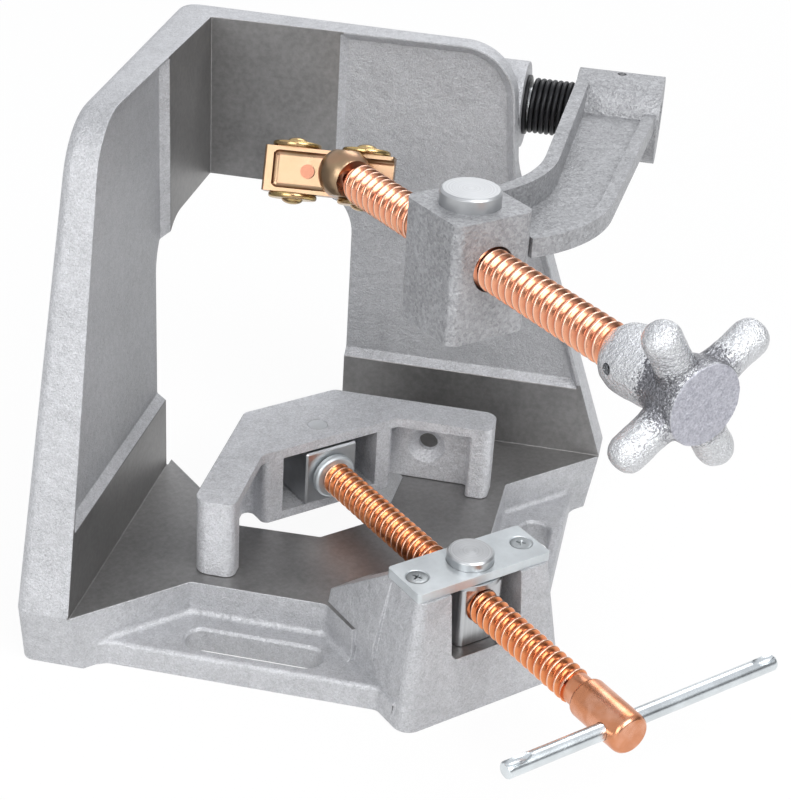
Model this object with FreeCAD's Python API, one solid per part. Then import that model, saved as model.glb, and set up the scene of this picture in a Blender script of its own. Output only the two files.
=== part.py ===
import FreeCAD, Part
import math
import os

# Corner clamp with a lower V jaw and a swing arm, in millimetres.
# X runs across the clamp, Y runs from the feed screws to the corner, Z is up.
# The origin is on the base underside, below the lower nut's axis.
# u and v run along the right and left wall from the machined corner, and w is
# the depth behind a wall's machined face.

VEC = FreeCAD.Vector
ROOT2 = math.sqrt(2.0)

# Clearances
RUN = 0.05
SLIP = 0.3

# Frame casting
CORNER_Y = 212.5
FLOOR_Z = 26.0
WALL_TOP = 213.0
WALL_REACH = 188.0
WALL_FOOT_REACH = 184.0
WALL_KNEE_U = 155.0
WALL_KNEE_Z = 121.0
WALL_NECK_U = 137.0
WALL_NECK_Z = 156.0
WALL_TOP_REACH = 132.5
WALL_TOP_ROUND = 24.0
LEFT_WALL_TOP_REACH = 138.0
LEFT_WALL_TOP_ROUND = 28.0
WALL_FOOT_THICK = 28.8
WALL_TOP_THICK = 18.4
WALL_THINNING = 0.036
BACK_CORNER_ROUND = 9.0
WALL_EDGE_ROUND = 5.0
LEDGE_ROUND = 2.0
SLOT_EDGE = 1.2
LEDGE_CREASE = 2.5
BAND_HEIGHT = 36.0
PAD_WIDTH = 60.0
WINDOW_TOP = 141.0
WINDOW_WIDTH = 65.0
WINDOW_ROUND = 22.0
RECESS_DEPTH = 4.0
RECESS_SLOPE = 3.0
RECESS_RIM = 4.0
FLOOR_REACH = 150.0
FLOOR_HOLE_HALF = 42.0
FLOOR_HOLE_BACK = 105.0
FLOOR_HOLE_FRONT = 129.5
FLOOR_HOLE_TIP_HALF = 16.0
FLANGE_TOP = 11.0
FLANGE_REACH = 178.0
FLANGE_START = 12.0
SLOT_LENGTH = 56.0
SLOT_WIDTH = 13.0
SLOT_U = 69.0
SLOT_FROM_EDGE = 12.0

# Post for the lower nut
POST_FOOT_HALF = 39.5
POST_TOP_HALF = 31.0
POST_FRONT_Y = -18.5
POST_TOP_FRONT_Y = -12.0
POST_TOP_BACK_Y = 11.5
POST_FOOT_BACK_Y = 30.0
POST_TOP = 54.5
GUSSET_REACH_Y = 49.0
GUSSET_SIDE_REACH_Y = 41.0
GUSSET_HALF = 37.8
GUSSET_TIP_HALF = 21.0
POST_SLOT_HALF = 16.4

# Lower screw train
LOWER_AXIS_ABOVE_FLOOR = 17.0
LOWER_SCREW_D = 14.0
LOWER_SHANK_D = 12.5
LOWER_THREAD_FRONT_Y = -68.0
LOWER_HEAD_BACK_Y = -74.0
LOWER_HEAD_FRONT_Y = -100.0
LOWER_HEAD_D = 16.0
LOWER_NECK_D = 10.0
LOWER_NECK_LENGTH = 7.6
NECK_PIN_D = 2.5
NUT_WIDTH = 20.0
NUT_FLANGE_D = 25.0
NUT_FLANGE_T = 2.2
NUT_JOURNAL_D = 18.6
NUT_JOURNAL_PROUD = 4.0
NUT_FOOT_D = 14.0
NUT_FOOT_LENGTH = 10.0
PLATE_T = 4.0
PLATE_WIDTH = 62.0
PLATE_DEPTH = 22.0
PLATE_SCREW_X = 24.6
PLATE_SCREW_D = 5.0
PLATE_SCREW_HEAD_D = 9.6
PLATE_SCREW_LENGTH = 18.0
T_BAR_D = 6.5
T_BAR_LENGTH = 125.0
T_BAR_SHIFT = 12.5
T_BAR_END = 7.0
T_BAR_SQUASH = 4.6
T_BAR_EDGE = 0.8
T_BAR_FROM_END = 7.6

# Movable jaw
JAW_GAP = 36.7
JAW_HEIGHT = 34.5
JAW_NOSE_Y = 137.7
JAW_ARM_WIDTH = 17.0
JAW_ARM_REACH = 143.5
JAW_WEB = 7.0
JAW_TOP_T = 4.3
JAW_LEG = 10.0
JAW_LIFT = 0.3
HOUSING_FRONT_Y = 102.5
HOUSING_HALF = 32.5
POCKET_HALF = 23.5
POCKET_BACK_Y = 130.0
POCKET_FLOOR_T = 3.9
JAW_HOLE_D = 8.5
JAW_HOLE_SINK_D = 17.0
JAW_HOLE_ALONG = 113.7
BLOCK_SIZE = 25.0
BLOCK_FRONT_Y = 101.5
JAW_PIN_D = 9.0
THRUST_COLLAR_D = 19.5
THRUST_COLLAR_EDGE = 0.9
THRUST_COLLAR_T = 4.0

# Swing arm
SHAFT_DEPTH = 28.2
SHAFT_Z = 181.0
SHAFT_D = 16.0
BOSS_D = 37.6
LUG_END_U = 135.5
LUG_LENGTH = 33.0
ARM_GAP = 22.0
BOSS_LENGTH = 37.0
ARM_BLOCK_HALF = 17.0
ARM_BLOCK_FRONT_Y = 1.5
ARM_BLOCK_DEPTH = 33.5
ARM_BLOCK_BOTTOM = 153.2
ARM_WEB_T = 5.0
ARM_WEB_LIFT = 0.5
ARM_BACK_BEND_V = 75.0
ARM_FRONT_BEND_V = 92.0
ARM_SPINE_T = 5.5
ARM_SPINE_BELOW = 11.0
ARM_SPINE_ABOVE = 11.0
ARM_LIP_W = 5.0
ARM_LIP_H = 2.5
WASHER_D = 26.0
WASHER_T = 1.5
SPRING_OD = 24.5
SPRING_WIRE = 2.4
SPRING_PITCH = 2.7
SPRING_STEPS = 16
RING_T = 1.5
RING_D = 20.0
ROLL_PIN_D = 4.0
ROLL_PIN_LENGTH = 31.0

# Upper screw train
UPPER_Z = 180.7
UPPER_SCREW_D = 16.0
UPPER_THREAD_FRONT_Y = -72.0
UPPER_NECK_D = 7.0
BARREL_D = 22.5
BARREL_PROUD = 5.7
BARREL_SEAT = 5.0
BARREL_SCREW_HOLE_D = 17.6

# Star knob
KNOB_BACK_Y = -68.6
KNOB_LENGTH = 42.0
KNOB_HUB_R = 12.2
KNOB_WAIST_R = 10.8
KNOB_FACE_R = 13.6
KNOB_BORE_DEPTH = 30.0
PRONG_REACH = 27.0
PRONG_TIP_R = 5.8
PRONG_ROOT_R = 5.2
PRONG_Y = -102.0
PRONG_TURN = 33.0
KNOB_PIN_D = 4.0

# Pressure shoe
SHOE_Y = 101.5
SHOE_HALF = 26.0
SHOE_SHIFT = -7.5
SHOE_HEIGHT = 18.0
SHOE_FRONT = 5.0
SHOE_CHANNEL = 2.5
SHOE_DEPTH = 10.0
SHOE_LIP_T = 2.6
SHOE_END_T = 3.8
SHOE_TURN = -41.0
SHOE_TILT = -26.0
SOCKET_R = 10.4
SOCKET_MOUTH_R = 8.6
SOCKET_MOUTH_START = 5.9
SHOE_SWIVEL = 28.0
SWIVEL_BARREL_D = 11.0
SWIVEL_BARREL_HEIGHT = 10.8
UPPER_THREAD_GAP = 9.8
DISC_D = 19.5
DISC_T = 2.4
DISC_U = 14.0
DISC_EDGE = 0.6
DISC_BACK = 6.0
RIVET_D = 5.0
RIVET_HEAD_D = 10.0
RIVET_HEAD_H = 2.1
STUD_D = 5.6
STUD_U = 8.4

# Worked out
LOWER_Z = FLOOR_Z + LOWER_AXIS_ABOVE_FLOOR
PLATE_TOP = POST_TOP + PLATE_T
JAW_BOTTOM = FLOOR_Z + JAW_LIFT
JAW_TOP = JAW_BOTTOM + JAW_HEIGHT
BLOCK_Y = BLOCK_FRONT_Y + BLOCK_SIZE / 2
ARM_TOP = SHAFT_Z + BOSS_D / 2
BOSS_START_U = LUG_END_U + ARM_GAP
BOSS_END_U = BOSS_START_U + BOSS_LENGTH
ARM_WEB_Z = SHAFT_Z + ARM_WEB_LIFT
SLOT_V = FLANGE_REACH - SLOT_FROM_EDGE
BARREL_Y = ARM_BLOCK_FRONT_Y + ARM_BLOCK_DEPTH / 2


def corner_point(u, v, z=0.0):
    return VEC((u - v) / ROOT2, CORNER_Y - (u + v) / ROOT2, z)


def to_corner(shape):
    """Turns a shape drawn as u, w, z into the clamp's axes."""
    placed = shape.copy()
    placed.rotate(VEC(0, 0, 0), VEC(0, 0, 1), -45)
    placed.translate(VEC(0, CORNER_Y, 0))
    return placed


def mirrored(shape):
    return shape.mirror(VEC(0, 0, 0), VEC(1, 0, 0))


def both_sides(shape):
    return shape.fuse(mirrored(shape))


def outline(points):
    """A closed wire in XY through (x, y) or (x, y, corner radius) points."""
    edges = []
    ends = []
    count = len(points)
    for index, point in enumerate(points):
        here = VEC(point[0], point[1], 0)
        radius = point[2] if len(point) > 2 else 0.0
        before = VEC(points[index - 1][0], points[index - 1][1], 0)
        after = VEC(points[(index + 1) % count][0], points[(index + 1) % count][1], 0)
        if radius == 0:
            ends.append((here, here, None))
            continue
        back = (before - here).normalize()
        ahead = (after - here).normalize()
        half = back.getAngle(ahead) / 2
        middle = (back + ahead).normalize()
        run = radius / math.tan(half)
        crown = here + middle * (radius / math.sin(half) - radius)
        ends.append((here + back * run, here + ahead * run, crown))
    for index, (start, end, crown) in enumerate(ends):
        if crown is not None:
            edges.append(Part.Arc(start, crown, end).toShape())
        following = ends[(index + 1) % count][0]
        if end.distanceToPoint(following) > 1e-6:
            edges.append(Part.LineSegment(end, following).toShape())
    return Part.Wire(edges)


def slab(points, bottom, top):
    face = Part.Face(outline(points))
    face.translate(VEC(0, 0, bottom))
    return face.extrude(VEC(0, 0, top - bottom))


def upright(points, start, depth):
    """A prism of an outline drawn as (u, z), from w = start over a depth."""
    face = Part.Face(outline(points))
    face.rotate(VEC(0, 0, 0), VEC(1, 0, 0), 90)
    face.translate(VEC(0, start, 0))
    return face.extrude(VEC(0, depth, 0))


def box(x0, x1, y0, y1, z0, z1):
    return Part.makeBox(x1 - x0, y1 - y0, z1 - z0, VEC(x0, y0, z0))


def rod(radius, start, end):
    along = end - start
    return Part.makeCylinder(radius, along.Length, start, along)


def turned(profile, base, axis):
    """Revolves (distance, radius) points about an axis from base."""
    points = [(profile[0][0], 0.0)] + list(profile) + [(profile[-1][0], 0.0)]
    wire = Part.makePolygon([VEC(r, 0, a) for a, r in points] + [VEC(0, 0, points[0][0])])
    solid = Part.Face(wire).revolve(VEC(0, 0, 0), VEC(0, 0, 1), 360)
    solid.Placement = FreeCAD.Placement(base, FreeCAD.Rotation(VEC(0, 0, 1), axis))
    return solid


def wall_thickness(z):
    share = (z - FLOOR_Z) / (WALL_TOP - FLOOR_Z)
    return WALL_FOOT_THICK + share * (WALL_TOP_THICK - WALL_FOOT_THICK)


def behind_walls():
    """All that lies behind the walls' outer faces, which draw in upward and outward."""
    far = 300.0
    parts = []
    for low, high in ((-1.0, FLOOR_Z), (FLOOR_Z, WALL_TOP + 1.0)):
        rows = ((-far, low), (far, low), (far, high), (-far, high))
        corners = [VEC(u, wall_thickness(max(z, FLOOR_Z)) - WALL_THINNING * u, z) for u, z in rows]
        face = Part.Face(Part.makePolygon(corners + corners[:1]))
        parts.append(to_corner(face.extrude(VEC(0, 200, 0))))
    return parts + [mirrored(part) for part in parts]


def right_end(inset):
    """The right wall's end, which is drawn in behind the arm's pivot."""
    return [(WALL_KNEE_U - inset, WALL_KNEE_Z, 50), (WALL_NECK_U - inset, WALL_NECK_Z, 40),
            (WALL_TOP_REACH - inset, WALL_TOP - inset, WALL_TOP_ROUND - inset)]


def left_end(inset):
    return [(LEFT_WALL_TOP_REACH - inset, WALL_TOP - inset, LEFT_WALL_TOP_ROUND - inset)]


def wall_outline(end):
    return [(-WALL_FOOT_THICK, 0), (WALL_FOOT_REACH, 0), (WALL_REACH, FLOOR_Z)] + end + \
           [(-WALL_FOOT_THICK, WALL_TOP)]


def wall(end):
    return to_corner(upright(wall_outline(end), 0, WALL_FOOT_THICK))


def wall_recess(end, slant):
    """The cast face between the top pad, the lower band and the end rim."""
    band = FLOOR_Z + BAND_HEIGHT
    wires = []
    for grow in (RECESS_SLOPE, 0.0):
        rim = RECESS_RIM - grow
        reach = WALL_REACH - slant * BAND_HEIGHT - rim
        wires.append(outline([(PAD_WIDTH - grow, band - grow), (reach, band - grow)] + end(rim)
                             + [(PAD_WIDTH - grow, WALL_TOP - rim)]))
    for wire, depth in zip(wires, (0.0, RECESS_DEPTH)):
        wire.rotate(VEC(0, 0, 0), VEC(1, 0, 0), 90)
        wire.translate(VEC(0, depth, 0))
    sunk = Part.makeLoft(wires, True, True)
    skim = Part.Face(wires[0]).extrude(VEC(0, -1, 0))
    return to_corner(sunk.fuse(skim))


def window():
    """The opening under the top pads, through both walls and the floor."""
    top = [(-60, -1), (WINDOW_WIDTH, -1), (WINDOW_WIDTH, WINDOW_TOP, WINDOW_ROUND), (-60, WINDOW_TOP)]
    side = to_corner(upright(top, -0.5, 60))
    near = CORNER_Y - FLOOR_HOLE_BACK
    hole = [(-FLOOR_HOLE_HALF, CORNER_Y), (-FLOOR_HOLE_HALF, near),
            (-FLOOR_HOLE_TIP_HALF, CORNER_Y - FLOOR_HOLE_FRONT),
            (FLOOR_HOLE_TIP_HALF, CORNER_Y - FLOOR_HOLE_FRONT),
            (FLOOR_HOLE_HALF, near), (FLOOR_HOLE_HALF, CORNER_Y)]
    return side, mirrored(side), slab(hole, -1, FLOOR_Z + 1)


def end_envelope():
    """Everything inside the sloped ends of both walls, up to the floor."""
    far = 400.0
    section = [(-far, -1), (WALL_FOOT_REACH - 0.15, -1), (WALL_REACH, FLOOR_Z), (WALL_REACH, FLOOR_Z + 1),
               (-far, FLOOR_Z + 1)]
    half = to_corner(upright(section, -far, 2 * far))
    return half.common(mirrored(half))


def base_points(reach, start, half):
    """The left half of the base outline, from the wall's end to the post."""
    first = corner_point(0, WALL_REACH if start == 0 else WALL_FOOT_REACH)
    points = [(0, CORNER_Y), (first.x, first.y)]
    if start:
        toe = corner_point(start, reach)
        points.append((toe.x, toe.y, 4))
    else:
        knee = corner_point((WALL_REACH - reach), reach)
        points.append((knee.x, knee.y, 3))
    u = reach - half * ROOT2
    meet = corner_point(u, reach)
    points.append((-half, meet.y, 4))
    return points


def symmetric(points):
    return points + [(-p[0],) + tuple(p[1:]) for p in reversed(points) if p[0] != 0]


def frame_casting():
    right = wall(right_end(0.0))
    left = mirrored(wall(left_end(0.0)))
    side, other, hole = window()
    body = right.fuse(left).cut(behind_walls()).cut([side, other]).removeSplitter()
    sharp = [e for e in body.Edges if abs(e.BoundBox.XMax) < 0.1 and abs(e.BoundBox.XMin) < 0.1
             and e.BoundBox.YMin > CORNER_Y + 5 and e.BoundBox.ZLength > 20]
    body = body.makeFillet(BACK_CORNER_ROUND, sharp)
    body = body.makeFillet(WALL_EDGE_ROUND, [e for e in body.Edges if on_outer_rim(e)])
    body = body.fuse([base(), post()])
    knee = (WALL_REACH - WALL_KNEE_U) / (WALL_KNEE_Z - FLOOR_Z)
    straight = (WALL_REACH - LEFT_WALL_TOP_REACH) / (WALL_TOP - FLOOR_Z)
    body = body.cut([side, other, hole, wall_recess(right_end, knee),
                     mirrored(wall_recess(left_end, straight)), post_slot()] + plate_screw_holes())
    body = body.fuse(shaft_lug())
    body = body.cut(shaft_bore())
    return body.removeSplitter()


def on_outer_rim(edge):
    """True for the edges behind the walls' top and end faces."""
    for vertex in edge.Vertexes:
        point = vertex.Point
        along = (point.x + CORNER_Y - point.y) / ROOT2
        across = (CORNER_Y - point.y - point.x) / ROOT2
        behind = min(along, across) < -8
        if not behind or (point.z < WALL_TOP - 0.1 and max(along, across) < 100):
            return False
    return edge.BoundBox.ZMax > 1


def base():
    floor = slab(symmetric(base_points(FLOOR_REACH, 0, POST_FOOT_HALF)
                           + [(-POST_FOOT_HALF, 20)]), 0, FLOOR_Z)
    ledge = slab(symmetric(base_points(FLANGE_REACH, FLANGE_START, POST_FOOT_HALF)
                           + [(-POST_FOOT_HALF, POST_FRONT_Y + 8)]), 0, FLANGE_TOP)
    ledge = ledge.makeFillet(LEDGE_ROUND, [e for e in ledge.Edges if on_ledge_rim(e)])
    slots = [fixing_slot(), mirrored(fixing_slot())]
    ledge = ledge.cut(slots)
    ledge = ledge.makeChamfer(SLOT_EDGE, [e for e in ledge.Edges if on_slot_mouth(e, slots)])
    body = floor.fuse(ledge).common(end_envelope()).removeSplitter()
    return body.makeFillet(LEDGE_CREASE, [e for e in body.Edges if in_ledge_crease(e)])


def on_ledge_rim(edge):
    """True for the ledge's top edges on its outer side."""
    box = edge.BoundBox
    return box.ZMin > FLANGE_TOP - 0.01 and box.YMax < CORNER_Y - 5 and box.YLength > 0.1


def on_slot_mouth(edge, slots):
    """True for the ledge's top edges round a slot."""
    middle = edge.BoundBox.Center
    return edge.BoundBox.ZMin > FLANGE_TOP - 0.01 and any(slot.BoundBox.isInside(middle) for slot in slots)


def in_ledge_crease(edge):
    """True for the edges where the ledge meets the raised floor."""
    box = edge.BoundBox
    if abs(box.ZMin - FLANGE_TOP) > 0.01 or box.ZLength > 0.1 or box.YMin < POST_FOOT_BACK_Y:
        return False
    reach = min((CORNER_Y - v.Y + abs(v.X)) / ROOT2 for v in edge.Vertexes)
    return reach < FLOOR_REACH + 1.5


def post():
    foot = [(-POST_FOOT_HALF, POST_FRONT_Y, 7), (POST_FOOT_HALF, POST_FRONT_Y, 7),
            (POST_FOOT_HALF, POST_FOOT_BACK_Y, 4), (-POST_FOOT_HALF, POST_FOOT_BACK_Y, 4)]
    top = [(-POST_TOP_HALF, POST_TOP_FRONT_Y, 4), (POST_TOP_HALF, POST_TOP_FRONT_Y, 4),
           (POST_TOP_HALF, POST_TOP_BACK_Y, 2), (-POST_TOP_HALF, POST_TOP_BACK_Y, 2)]
    low = outline(foot)
    high = outline(top)
    high.translate(VEC(0, 0, POST_TOP))
    return Part.makeLoft([low, high], True, True).fuse(gusset())


def gusset():
    """The web behind the post, as wide as the post and sloped to the floor."""
    under = FLOOR_Z - 8.0
    start = POST_TOP_BACK_Y - 4.0
    side = Part.makePolygon([VEC(-60, start, under), VEC(-60, GUSSET_REACH_Y, under),
                             VEC(-60, GUSSET_REACH_Y, FLOOR_Z), VEC(-60, POST_TOP_BACK_Y, POST_TOP),
                             VEC(-60, start, POST_TOP), VEC(-60, start, under)])
    web = Part.Face(side).extrude(VEC(120, 0, 0))
    across = Part.makePolygon([VEC(-GUSSET_HALF, 0, under), VEC(-GUSSET_HALF, 0, FLOOR_Z),
                               VEC(-POST_TOP_HALF, 0, POST_TOP), VEC(POST_TOP_HALF, 0, POST_TOP),
                               VEC(GUSSET_HALF, 0, FLOOR_Z), VEC(GUSSET_HALF, 0, under),
                               VEC(-GUSSET_HALF, 0, under)])
    drawn_in = Part.Face(across).extrude(VEC(0, 2 * GUSSET_REACH_Y, 0))
    plan = slab([(-60, 0), (60, 0), (GUSSET_HALF, GUSSET_SIDE_REACH_Y, 3), (GUSSET_TIP_HALF, GUSSET_REACH_Y),
                 (-GUSSET_TIP_HALF, GUSSET_REACH_Y), (-GUSSET_HALF, GUSSET_SIDE_REACH_Y, 3)], under, POST_TOP)
    return web.common(drawn_in).common(plan)


def post_slot():
    channel = [(-POST_SLOT_HALF, FLOOR_Z, 3), (POST_SLOT_HALF, FLOOR_Z, 3),
               (POST_SLOT_HALF, POST_TOP + 10), (-POST_SLOT_HALF, POST_TOP + 10)]
    face = Part.Face(outline(channel))
    face.rotate(VEC(0, 0, 0), VEC(1, 0, 0), 90)
    face.translate(VEC(0, GUSSET_REACH_Y + 5, 0))
    trough = face.extrude(VEC(0, POST_FRONT_Y - GUSSET_REACH_Y - 15, 0))
    seat = Part.makeCylinder(NUT_FOOT_D / 2 + RUN, NUT_FOOT_LENGTH + 1.0,
                             VEC(0, 0, FLOOR_Z - NUT_FOOT_LENGTH - 0.5))
    return trough.fuse(seat)


def plate_screw_holes():
    depth = PLATE_SCREW_LENGTH - PLATE_T + 1.5
    return [Part.makeCylinder(PLATE_SCREW_D / 2 + RUN, depth, VEC(side * PLATE_SCREW_X, 0, POST_TOP - depth))
            for side in (-1, 1)]


def fixing_slot():
    half = SLOT_WIDTH / 2
    long_half = SLOT_LENGTH / 2
    points = [(-long_half, -half, half), (long_half, -half, half),
              (long_half, half, half), (-long_half, half, half)]
    cut = slab(points, -1, FLANGE_TOP + 1)
    cut.rotate(VEC(0, 0, 0), VEC(0, 0, 1), -45)
    centre = corner_point(SLOT_U, SLOT_V)
    cut.translate(centre)
    return cut


def shaft_lug():
    start = LUG_END_U - LUG_LENGTH
    round_part = rod(BOSS_D / 2, VEC(start, SHAFT_DEPTH, SHAFT_Z), VEC(LUG_END_U, SHAFT_DEPTH, SHAFT_Z))
    root = wall_thickness(SHAFT_Z) - 6.0
    flank = box(start, LUG_END_U - 8, root, SHAFT_DEPTH, SHAFT_Z - BOSS_D / 2, SHAFT_Z + BOSS_D / 2)
    return to_corner(round_part.fuse(flank))


def shaft_bore():
    return to_corner(rod(SHAFT_D / 2 + RUN, VEC(LUG_END_U - LUG_LENGTH - 5, SHAFT_DEPTH, SHAFT_Z),
                         VEC(LUG_END_U + 1, SHAFT_DEPTH, SHAFT_Z)))


def retaining_plate():
    half_x = PLATE_WIDTH / 2
    half_y = PLATE_DEPTH / 2
    plate = slab([(-half_x, -half_y, 1.5), (half_x, -half_y, 1.5), (half_x, half_y, 1.5),
                  (-half_x, half_y, 1.5)], POST_TOP, PLATE_TOP)
    plate = plate.cut(Part.makeCylinder(NUT_JOURNAL_D / 2 + RUN, PLATE_T, VEC(0, 0, POST_TOP)))
    return plate.cut([screw_body(side * PLATE_SCREW_X, RUN) for side in (-1, 1)])


def screw_body(x, spare):
    head = PLATE_SCREW_HEAD_D / 2 + spare
    shank = PLATE_SCREW_D / 2 + (spare if spare else 0)
    sink = head - shank
    profile = [(-PLATE_SCREW_LENGTH, shank), (-sink, shank), (0, head)]
    return turned(profile, VEC(x, 0, PLATE_TOP), VEC(0, 0, 1))


def plate_screws():
    return Part.makeCompound([screw_body(side * PLATE_SCREW_X, 0) for side in (-1, 1)])


def lower_nut():
    half = NUT_WIDTH / 2
    under = FLOOR_Z + SLIP
    flange_z = POST_TOP - 0.2 - NUT_FLANGE_T
    body = slab([(-half, -half, 2.5), (half, -half, 2.5), (half, half, 2.5), (-half, half, 2.5)],
                under, flange_z)
    flange = Part.makeCylinder(NUT_FLANGE_D / 2, NUT_FLANGE_T, VEC(0, 0, flange_z))
    journal_top = PLATE_TOP + NUT_JOURNAL_PROUD
    journal = Part.makeCylinder(NUT_JOURNAL_D / 2, journal_top - flange_z, VEC(0, 0, flange_z))
    rim = [e for e in journal.Edges if abs(e.BoundBox.ZMin - journal_top) < 0.01]
    journal = journal.makeChamfer(0.8, rim)
    foot = Part.makeCylinder(NUT_FOOT_D / 2, NUT_FOOT_LENGTH, VEC(0, 0, under - NUT_FOOT_LENGTH))
    body = body.fuse([flange, journal, foot])
    bore = rod(LOWER_SCREW_D / 2 + RUN, VEC(0, -30, LOWER_Z), VEC(0, 30, LOWER_Z))
    return body.cut(bore).removeSplitter()


def lower_spindle():
    screw = LOWER_SCREW_D / 2
    collar_front = BLOCK_FRONT_Y - THRUST_COLLAR_T - SLIP
    neck_end = BLOCK_FRONT_Y + LOWER_NECK_LENGTH
    head = LOWER_HEAD_D / 2
    profile = [(LOWER_HEAD_FRONT_Y, head - 1.5), (LOWER_HEAD_FRONT_Y + 1.5, head),
               (LOWER_HEAD_BACK_Y - 1, head), (LOWER_HEAD_BACK_Y, head - 1),
               (LOWER_HEAD_BACK_Y, LOWER_SHANK_D / 2), (LOWER_THREAD_FRONT_Y, LOWER_SHANK_D / 2),
               (LOWER_THREAD_FRONT_Y, screw), (collar_front, screw),
               (collar_front, LOWER_NECK_D / 2)]
    profile += neck_groove(neck_end, LOWER_NECK_D)
    spindle = turned(profile, VEC(0, 0, LOWER_Z), VEC(0, 1, 0))
    eye = rod(T_BAR_D / 2 + 0.1, VEC(-20, t_bar_y(), LOWER_Z), VEC(20, t_bar_y(), LOWER_Z))
    return spindle.cut(eye)


def neck_groove(end, neck):
    """The groove near a neck's end that its cross pin runs in."""
    radius = neck / 2
    low = end - 4.6
    high = end - 1.6
    return [(low, radius), (low, radius - 1.4), (high, radius - 1.4), (high, radius), (end, radius)]


def neck_pin_offset(neck):
    return neck / 2 - 1.4 + NECK_PIN_D / 2 + RUN


def t_bar_y():
    return LOWER_HEAD_FRONT_Y + T_BAR_FROM_END


def t_bar():
    left = T_BAR_SHIFT - T_BAR_LENGTH / 2
    right = T_BAR_SHIFT + T_BAR_LENGTH / 2
    y = t_bar_y()
    bar = rod(T_BAR_D / 2, VEC(left, y, LOWER_Z), VEC(right, y, LOWER_Z))
    ends = [e for e in bar.Edges if e.Curve.TypeId == "Part::GeomCircle"]
    bar = bar.makeChamfer(T_BAR_EDGE, ends)
    for side, x in ((-1, left), (1, right)):
        inner = x - side * T_BAR_END
        wing = slab([(inner, -T_BAR_D / 2 - 0.9, 1.5), (x - side * 1.0, -T_BAR_D / 2 - 0.9, 1.5),
                     (x - side * 1.0, T_BAR_D / 2 + 0.9, 1.5), (inner, T_BAR_D / 2 + 0.9, 1.5)],
                    -T_BAR_SQUASH / 2, T_BAR_SQUASH / 2)
        wing.translate(VEC(0, y, LOWER_Z))
        bar = bar.fuse(wing)
        for level in (-1, 1):
            gap = box(min(x, inner) - 1, max(x, inner) + 1, y - 6, y + 6, 0, 5)
            gap.translate(VEC(0, 0, LOWER_Z + (T_BAR_SQUASH / 2 if level > 0 else -T_BAR_SQUASH / 2 - 5)))
            bar = bar.cut(gap)
    return bar.removeSplitter()


def jaw_swivel_block():
    half = BLOCK_SIZE / 2
    back = BLOCK_FRONT_Y + BLOCK_SIZE
    block = box(-half, half, BLOCK_FRONT_Y, back, LOWER_Z - half, LOWER_Z + half)
    block = block.makeChamfer(0.8, block.Edges)
    neck = rod(LOWER_NECK_D / 2 + RUN, VEC(0, BLOCK_FRONT_Y - 1, LOWER_Z),
               VEC(0, BLOCK_FRONT_Y + LOWER_NECK_LENGTH + 0.15, LOWER_Z))
    pivot = rod(JAW_PIN_D / 2 + RUN, VEC(0, BLOCK_Y, LOWER_Z - half - 1), VEC(0, BLOCK_Y, LOWER_Z + half + 1))
    return block.cut([neck, pivot, lower_neck_pin(RUN)])


def lower_neck_pin(spare=0.0):
    y = BLOCK_FRONT_Y + LOWER_NECK_LENGTH - 3.1
    z = LOWER_Z + neck_pin_offset(LOWER_NECK_D)
    half = BLOCK_SIZE / 2 - 1 + spare
    return rod(NECK_PIN_D / 2 + spare, VEC(-half, y, z), VEC(half, y, z))


def thrust_collar():
    front = BLOCK_FRONT_Y - THRUST_COLLAR_T - SLIP / 2
    ring = rod(THRUST_COLLAR_D / 2, VEC(0, front, LOWER_Z), VEC(0, front + THRUST_COLLAR_T, LOWER_Z))
    rims = [e for e in ring.Edges if e.Curve.TypeId == "Part::GeomCircle"]
    ring = ring.makeChamfer(THRUST_COLLAR_EDGE, rims)
    return ring.cut(rod(LOWER_NECK_D / 2 + RUN, VEC(0, front - 1, LOWER_Z),
                        VEC(0, BLOCK_FRONT_Y + 1, LOWER_Z)))


def jaw_pivot_pin():
    return Part.makeCylinder(JAW_PIN_D / 2, JAW_TOP - JAW_BOTTOM - 0.5, VEC(0, BLOCK_Y, JAW_BOTTOM + 0.5))


def movable_jaw():
    outer = JAW_GAP
    inner = JAW_GAP + JAW_ARM_WIDTH
    def at(u, v, radius):
        p = corner_point(u, v)
        return (p.x, p.y, radius)
    nose = (CORNER_Y - JAW_NOSE_Y) * ROOT2 - outer
    rib = [(-HOUSING_HALF, HOUSING_FRONT_Y, 3)]
    left = [at(outer, nose, 4), at(outer, JAW_ARM_REACH, 6), at(inner, JAW_ARM_REACH, 4)] + \
           [(-HOUSING_HALF - 1.5, housing_corner_y(), 6)] + rib
    top = slab(symmetric(left), JAW_TOP - JAW_TOP_T, JAW_TOP)
    web = [at(outer, nose, 4), at(outer, JAW_ARM_REACH, 6), at(inner, JAW_ARM_REACH, 4),
           at(inner, JAW_ARM_REACH - JAW_LEG, 2), at(outer + JAW_WEB, JAW_ARM_REACH - JAW_LEG, 3)]
    step = corner_point(outer + JAW_WEB, 0)
    meet_y = CORNER_Y - ((outer + JAW_WEB) * ROOT2 + HOUSING_HALF)
    web += [(-HOUSING_HALF, meet_y, 3), (-HOUSING_HALF, HOUSING_FRONT_Y, 3)]
    sides = slab(symmetric(web), JAW_BOTTOM, JAW_TOP)
    pocket = box(-POCKET_HALF, POCKET_HALF, HOUSING_FRONT_Y - 30, POCKET_BACK_Y,
                 JAW_BOTTOM + POCKET_FLOOR_T, JAW_TOP - JAW_TOP_T)
    uprights = [e for e in pocket.Edges if e.BoundBox.ZLength > 5 and e.BoundBox.YMin > POCKET_BACK_Y - 1]
    pocket = pocket.makeFillet(4, uprights)
    body = top.fuse(sides).cut(pocket)
    pin = Part.makeCylinder(JAW_PIN_D / 2 + 0.01, JAW_HEIGHT + 2, VEC(0, BLOCK_Y, JAW_BOTTOM - 1))
    body = body.cut(pin)
    hole = jaw_hole()
    return body.cut([hole, mirrored(hole)]).removeSplitter()


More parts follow.
